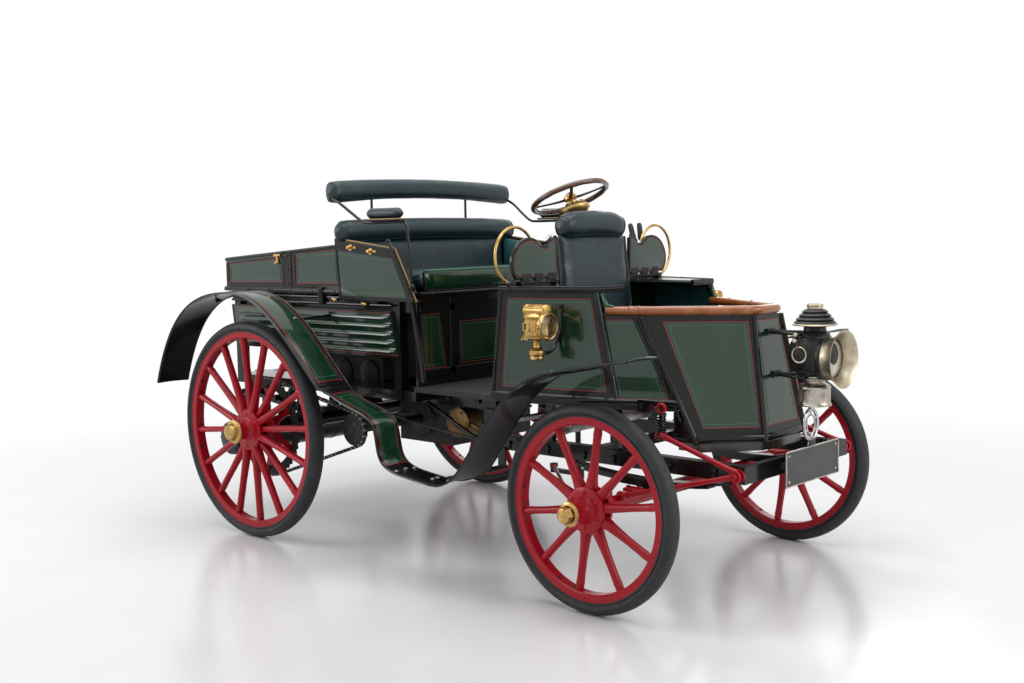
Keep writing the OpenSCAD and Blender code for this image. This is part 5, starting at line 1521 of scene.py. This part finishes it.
# fork and thumb screws
for z, x0 in ((914, 2088), (767, 2113)):
    for s in (-1, 1):
        arm = [P(x0 + 2, s * 18, z), P(x0 + 40, s * 30, z), P(BOW_LAMP_X - 40, s * 55, z),
               P(BOW_LAMP_X - 14, s * (58 if z > 850 else 46), z)]
        b.tube(smooth_path(arm, 5), 0.0052, 12, 0)
    b.block(P(x0 + 3, 0, z), (0.004, 0.026, 0.012), 0)
for s in (-1, 1):
    for z, r in ((914, 60), (894, 66)):
        o = P(BOW_LAMP_X - 22, s * r, z)
        b.rod(o, o + Y * (s * 0.018), 0.003, 10, 1)
        b.lathe(o + Y * (s * 0.016), Y * s, [(0, 0.008), (0.006, 0.007), (0.0075, 0.004), (0.006, 0.0)], 12, 1)
b.done("bow_lamp_details", "car_body", [lamp_black, old_brass, lens, iron, nickel], "lamp_black", ("headlamp",),
       angle=35)

b = Build()
corners = [P(2257, y, z) for y, z in ((-179, 409), (179, 409), (179, 527), (-179, 527))]
loop = [mix(p, q, i / 12) for p, q in zip(corners, corners[1:] + corners[:1]) for i in range(12)]
b.tube(loop, 0.0030, 8, 0, closed=True)
for y in (-160, 160):
    for z in (424, 512):
        b.lathe(P(2256.6, y, z), X, [(0, 0.0030), (0.0035, 0.0027), (0.0052, 0.0012), (0.0055, 0)], 20, 0)
b.block(P(2254, 0, 540), (0.003, 0.020, 0.014), 1)
# blank badge: two oval rings and six spokes, on a tapered foot
o = P(2251, -6, 602)
oval = circle(64, Y * 0.045, Z * 0.053)
b.tube([o + v for v in oval], 0.0062, 12, 2, closed=True)
b.tube([o + v * 0.62 for v in oval], 0.0030, 10, 2, closed=True)
for v in circle(6, Y * 0.045, Z * 0.053, 0.5):
    b.tube([o + v * 0.60, o + v], 0.0030, 10, 2)
b.sphere(P(2251, -6, 662), 0.0085, 2, 18)
b.slab([P(2248.5, -24, 530), P(2248.5, 12, 530), P(2248.5, 4, 551), P(2248.5, -16, 551)], V(0.005, 0, 0), 2)
b.done("plate_rim_and_badge", "car_body", [nickel, black, chrome], "plate_black", angle=40)

# two hand levers beside the far end of the doorway
b = Build()
for x0, x1, x2, x3, y, top in ((1103, 1122, 1150, 1176, 500, 1302), (1146, 1155, 1176, 1196, 506, 1309)):
    bar = [P(x1, y, 1236), P(x1 + 8, y, 1160), P(x2, y, 960), P(x2 + 8, y, 800), P(x3, y - 14, 660)]
    b.tube(smooth_path(bar, 8), 0.0065, 12, 0)
    b.lathe(P(x1, y, 1232), P(x0, y, top) - bar[0], [(0.0, -0.002), (0.009, 0.0), (0.0125, 0.006), (0.0120, 0.030),
                                                     (0.0110, 0.062), (0.0095, 0.070), (0.005, 0.074),
                                                     (0.0, 0.075)], 24, 1)
    b.lathe(bar[-1], Y, [(0.0, -0.030), (0.014, -0.030), (0.016, -0.026), (0.016, 0.008), (0.012, 0.011),
                         (0.0, 0.011)], 24, 0)
b.block(P(1186, 466, 656), (0.040, 0.010, 0.026), 0, 0.003)
b.done("hand_levers", "car_body", [black, rubber], "black_paint", angle=40)

# ---------------------------------------------------------------------------
# chassis gear: stays, coil springs, chains, bolts, tanks, pump
# ---------------------------------------------------------------------------
b = Build()
for s in (-1, 1):
    hub = P(2182, s * 364, 468)
    low = P(1814, s * 500, 378)
    high = P(1876, s * 360, 574)

    def forged(p, q, r):
        """a bar that thickens towards both ends"""
        n = 24
        rad = [r * (1 + 0.45 * math.exp(-(i / 2.2) ** 2) + 0.45 * math.exp(-((n - i) / 2.2) ** 2))
               for i in range(n + 1)]
        b.tube([mix(p, q, i / n) for i in range(n + 1)], r, 16, 0, radii=rad)
    forged(hub, low, 0.0088)
    forged(hub + Z * 0.010, high, 0.0092)
    # clevis: two cheeks, pin and nuts
    for d in (-0.013, 0.013):
        b.lathe(hub + Y * d, Y, [(0.0, -0.004), (0.021, -0.004), (0.022, -0.002), (0.022, 0.002), (0.021, 0.004),
                                 (0.0, 0.004)], 28, 0)
    b.lathe(hub, Y, [(0.0, -0.024), (0.007, -0.024), (0.007, 0.024), (0.0, 0.024)], 18, 0)
    for side in (Y * s, Y * -s):
        b.bolt(hub + side * 0.018, side, 0.012, 0.008, 0)
    b.block(hub + V(-0.004, -s * 0.02, 0.0), (0.018, 0.010, 0.020), 0, 0.004)
    for e, d in ((low, X), (high, Y)):
        b.lathe(e, d, [(0.0, -0.016), (0.014, -0.016), (0.016, -0.012), (0.016, 0.012), (0.014, 0.016),
                       (0.0, 0.016)], 24, 0)
    # coil spring on its rod, between two cups
    z0, z1 = 566, 650
    turns, n = 7.5, 150
    helix = []
    for i in range(n + 1):
        a = math.tau * turns * i / n
        helix.append(P(1876, s * 360, mix(z0 + 4, z1 - 6, i / n)) + (X * math.cos(a) + Y * math.sin(a)) * 0.0155)
    b.tube(helix, 0.0032, 8, 1)
    b.rod(P(1876, s * 360, z0 - 8), P(1876, s * 360, z1), 0.0065, 14, 1)
    for z in (z0, z1 - 3):
        b.lathe(P(1876, s * 360, z), Z, [(0.0, -0.003), (0.020, -0.003), (0.020, 0.003), (0.0, 0.003)], 28, 1)
b.done("stay_rods", "car_body", [red, black], "red_paint", ("front_stays",), angle=40)

# roller chains round both wheels of each side
b = Build()
R1, R2 = 0.209, 0.068
c1, c2 = P(0, 0, REAR_R * 1000), P(SHAFT_X, 0, SHAFT_Z)
d = c2 - c1
ang = math.atan2(d.z, d.x)
off = math.asin((R1 - R2) / d.length)
seg = math.sqrt(d.length ** 2 - (R1 - R2) ** 2)
big, small = R1 * (math.pi + 2 * off), R2 * (math.pi - 2 * off)


def ray(a):
    return V(math.cos(a), 0, math.sin(a))


def on_loop(t):
    """the point at length t along the chain: upper run, small wheel, lower run, large wheel"""
    a_top, a_low = ang + math.pi / 2 - off, ang - math.pi / 2 + off
    if t < seg:
        return c1 + ray(a_top) * R1 + ray(a_top - math.pi / 2) * t
    t -= seg
    if t < small:
        return c2 + ray(a_top - t / R2) * R2
    t -= small
    if t < seg:
        return c2 + ray(a_low) * R2 - ray(a_low + math.pi / 2) * t
    return c1 + ray(a_low - (t - seg) / R1) * R1


PITCH_M = 0.0255
total = 2 * seg + big + small
count = int(round(total / PITCH_M / 2)) * 2
pins = [on_loop(total * i / count) for i in range(count)]
for s in (-1, 1):
    yc = Y * (s * CHAIN_Y * MM)
    for i, p in enumerate(pins):
        q = pins[(i + 1) % count]
        e = (q - p).normalized()
        n = e.cross(Y).normalized()
        reach = (q - p).length / 2 + 0.006
        wide = 0.0075 if i % 2 else 0.0052
        for side in (-1, 1):
            o = (p + q) / 2 + yc + Y * (side * (wide - 0.0009))
            outline = [o + e * (k * reach) + n * (r * 0.0068)
                       for k, r in ((-1, 0), (-0.6, 1), (0, 0.78), (0.6, 1), (1, 0), (0.6, -1), (0, -0.78),
                                    (-0.6, -1))]
            b.slab(outline, Y * (side * 0.0018), 0)
        b.lathe(p + yc, Y, [(0.0, -0.0088), (0.0032, -0.0088), (0.0032, -0.0048), (0.0048, -0.0046),
                            (0.0048, 0.0046), (0.0032, 0.0048), (0.0032, 0.0088), (0.0, 0.0088)], 10, 1)
b.done("chain_links", "car_body", [iron, steel], "iron", ("drive_chains",), angle=30)

# gear beside and below the frame
b = Build()
for s in (-1, 1):
    # drive wheels on the countershaft, with their teeth
    o = P(SHAFT_X, s * CHAIN_Y, SHAFT_Z)
    outer = toothed(15, 0.0585, 0.0655, X, Z)
    inner = [v.normalized() * 0.02 for v in outer]
    b.grid([[o + v + Y * h for v in row] for row, h in ((inner, 0.0045), (outer, 0.0045), (outer, -0.0045),
                                                        (inner, -0.0045))],
           1, close_v=True)
    b.lathe(o, Y * s, [(0.0, 0.020), (0.014, 0.019), (0.016, 0.014), (0.022, 0.010), (0.030, 0.0048)], 28, 1)
    # leaf spring clips, centre plate and U-bolts
    for x in (-190, 190):
        b.block(P(x, s * 420, 543 + abs(x) * 0.02), (0.008, 0.029, 0.016), 0)
    for x in (-18, 18):
        for y in (392, 448):
            b.rod(P(x, s * y, 478), P(x, s * y, 566), 0.005, 10, 1)
            b.bolt(P(x, s * y, 478), -Z, 0.009, 0.008, 1)
    b.block(P(0, s * 420, 568), (0.030, 0.034, 0.004), 1)
    # rivets and brackets along the rails
    for i in range(10):
        b.bolt(P(-540 + i * 170, s * 344, 618), Y * s, 0.010, 0.006, 0, 12)
    for x in (1150, 1345, 1520, 1655, 1900, 2080):
        b.bolt(P(x, s * 344, 468), Y * s, 0.010, 0.006, 0, 12)
        b.bolt(P(x, s * 344, 452), Y * s, 0.006, 0.004, 0, 12)
    b.block(P(1050, s * 346, 540), (0.026, 0.004, 0.055), 0)
    # diagonal brace below the doorway
    b.tube([P(700, s * 340, 590), P(900, s * 345, 500), P(1060, s * 345, 440)], 0.008, 12, 0)
    # brake rod with its adjuster, along the rail
    b.rod(P(120, s * 372, 560), P(1000, s * 372, 470), 0.0055, 12, 1)
    b.rod(P(520, s * 372, 519), P(600, s * 372, 511), 0.010, 6, 1)
    for x, z in ((120, 561), (1000, 469)):
        b.sphere(P(x, s * 372, z), 0.012, 1, 16)
        b.block(P(x, s * 358, z), (0.010, 0.018, 0.010), 0)
    # water pipes from the tank under the floor
    b.tube(smooth_path([P(1290, s * 150, 575), P(1180, s * 150, 560), P(1000, s * 180, 520), P(880, s * 230, 505),
                        P(800, s * 236, 520)], 8), 0.012, 14, 3)
    # bands on the tank and the silencer
    for y in (180, 252):
        b.lathe(P(1340, s * y, 575), Y, [(0.0650, -0.006), (0.0672, -0.004), (0.0672, 0.004), (0.0650, 0.006)], 56,
                3)
    b.lathe(P(1340, s * 258, 575), Y * s, [(0.060, 0.0025), (0.045, 0.008), (0.0, 0.012)], 48, 3)
    for y in (60, 300, 505):
        b.lathe(P(-440, s * y, 350), Y, [(0.0750, -0.008), (0.0775, -0.006), (0.0775, 0.006), (0.0750, 0.008)], 56,
                0)
    b.lathe(P(-440, s * 520, 350), Y * s, [(0.074, -0.002), (0.070, 0.004), (0.050, 0.009), (0.0, 0.012)], 48, 0)
    for v in circle(8, X * 0.062, Z * 0.062):
        b.bolt(P(-440, s * 525, 350) + v, Y * s, 0.005, 0.004, 1)
    # axle ends: spring pads, caps and grease cups
    b.lathe(P(WHEELBASE, s * 560, 355), Z, [(0.0, 0.062), (0.010, 0.060), (0.013, 0.054), (0.013, 0.048)], 20, 2)
    b.block(P(WHEELBASE, s * 400, 380), (0.030, 0.024, 0.006), 4, 0.003)
    for x in (1764, 1808):
        b.bolt(P(x, s * 400, 386), Z, 0.008, 0.007, 4)
# brass pump with its cover and pipe
o = P(860, -330, 520)
b.lathe(o, -Y, [(0.0, 0.014), (0.018, 0.013), (0.022, 0.009), (0.046, 0.007), (0.058, 0.004), (0.0615, 0.001),
                (0.0615, -0.012), (0.0605, -0.078)], 48, 2)
for v in circle(6, X, Z):
    b.bolt(o + v * 0.050 - Y * 0.006, -Y, 0.006, 0.005, 2)
b.tube(smooth_path([P(860, -318, 580), P(862, -318, 610), P(820, -318, 628), P(760, -300, 630)], 8), 0.009, 14, 2)
b.lathe(P(860, -300, 578), Z, [(0.016, -0.012), (0.016, 0.006), (0.013, 0.008), (0.0, 0.010)], 24, 2)
b.rod(P(905, -316, 520), P(955, -316, 505), 0.008, 12, 2)
b.lathe(P(955, -316, 505), V(1, 0, -0.3), [(0.0, 0.016), (0.010, 0.014), (0.012, 0.008), (0.009, 0.0)], 16, 2)
# engine block: ribs, covers and bolts
for i in range(9):
    b.block(P(-20, 0, 700 + i * 26), (0.272, 0.186, 0.0035), 1, 0.001)
for s in (-1, 1):
    for x in (-200, -20, 160):
        b.lathe(P(x, s * 181, 660), Y * s, [(0.0, 0.014), (0.050, 0.012), (0.060, 0.006), (0.060, 0.0)], 40, 1)
        for v in circle(6, X, Z):
            b.bolt(P(x, s * 186, 660) + v * 0.053, Y * s, 0.006, 0.005, 0)
    b.tube(smooth_path([P(-180, s * 186, 760), P(-180, s * 250, 740), P(-260, s * 262, 620), P(-330, s * 262, 520),
                        P(-400, s * 262, 440)], 8), 0.018, 16, 0)
# gearbox: joint flange, cover ribs
b.block(P(580, 0, 510), (0.166, 0.246, 0.006), 1, 0.001)
for i in range(7):
    for s in (-1, 1):
        b.bolt(P(440 + i * 47, s * 243, 516), Z, 0.006, 0.006, 1)
for s in (-1, 1):
    b.lathe(P(560, s * 240, 500), Y * s, [(0.075, 0.0), (0.070, 0.010), (0.035, 0.016), (0.020, 0.018)], 40, 1)
b.done("gear_details", "car_body", [black, iron, bronze, tin, red], "iron", angle=38)


# ---------------------------------------------------------------------------
# room: pale floor, white surroundings, soft lamps
# ---------------------------------------------------------------------------
def seen(tree):
    """1 for rays from the camera and for reflected and refracted rays"""
    lp = tree.nodes.new("ShaderNodeLightPath")
    last = lp.outputs["Is Camera Ray"]
    for name in ("Is Glossy Ray", "Is Transmission Ray"):
        k = tree.nodes.new("ShaderNodeMath")
        k.operation = "MAXIMUM"
        tree.links.new(last, k.inputs[0])
        tree.links.new(lp.outputs[name], k.inputs[1])
        last = k.outputs["Value"]
    return last


def room():
    m = Mat("studio_floor", Specular_IOR_Level=0.5)
    m.rough(m.noise(3, 4), 0.16, 0.26)
    m.colour(m.noise(1.5, 3), [(0.3, (0.80, 0.80, 0.815)), (0.7, (0.84, 0.84, 0.85))])
    # seen straight on, the floor far from the car is as white as the surroundings
    geo = m.node("NewGeometry")
    length = m.node("VectorMath", operation="LENGTH")
    m.link(geo.outputs["Position"], length.inputs[0])
    far = m.map_range(length.outputs["Value"], 1.7, 4.2, 0.0, 1.0)
    both = m.node("Math", operation="MULTIPLY")
    m.link(far, both.inputs[0])
    m.link(seen(m.t), both.inputs[1])
    em = m.node("Emission", Color=(1, 1, 1, 1))
    mixer = m.node("MixShader")
    m.link(both.outputs["Value"], mixer.inputs["Fac"])
    m.link(m.b.outputs["BSDF"], mixer.inputs[1])
    m.link(em.outputs["Emission"], mixer.inputs[2])
    m.link(mixer.outputs["Shader"], m.t.nodes["Material Output"].inputs["Surface"])
    me = bpy.data.meshes.new("floor")
    half = 14
    me.from_pydata([(x * half, y * half, 0) for x, y in ((-1, -1), (1, -1), (1, 1), (-1, 1))], [], [(0, 1, 2, 3)])
    me.materials.append(m.m)
    o = bpy.data.objects.new("floor", me)
    bpy.context.scene.collection.objects.link(o)
    w = bpy.data.worlds.new("world")
    bpy.context.scene.world = w
    w.use_nodes = True
    t = w.node_tree
    bg = t.nodes["Background"]
    bg.inputs["Color"].default_value = (1, 1, 1, 1)
    bg.inputs["Strength"].default_value = 0.42
    white = t.nodes.new("ShaderNodeBackground")
    white.inputs["Color"].default_value = (1, 1, 1, 1)
    white.inputs["Strength"].default_value = 1.0
    mx = t.nodes.new("ShaderNodeMixShader")
    t.links.new(seen(t), mx.inputs["Fac"])
    t.links.new(bg.outputs["Background"], mx.inputs[1])
    t.links.new(white.outputs["Background"], mx.inputs[2])
    t.links.new(mx.outputs["Shader"], t.nodes["World Output"].inputs["Surface"])

    def area(name, at, to, size, power, size_y):
        d = bpy.data.lights.new(name, "AREA")
        d.shape = "RECTANGLE"
        d.size = size
        d.size_y = size_y
        d.energy = power
        o = bpy.data.objects.new(name, d)
        o.location = at
        o.rotation_euler = (Vector(to) - Vector(at)).to_track_quat("-Z", "Y").to_euler()
        bpy.context.scene.collection.objects.link(o)

    area("top_light", (0.2, -0.4, 4.2), (0, 0, 0.6), 4.6, 120, 3.2)
    area("left_light", (-3.4, -3.6, 2.6), (-0.2, 0, 0.7), 2.6, 70, 1.8)
    area("right_light", (4.6, 0.6, 2.4), (0.6, 0, 0.7), 2.4, 60, 2.0)
    area("back_light", (-1.5, 4.4, 2.8), (0, 0, 0.7), 3.2, 45, 1.6)


room()
bpy.context.scene.view_settings.view_transform = "Standard"
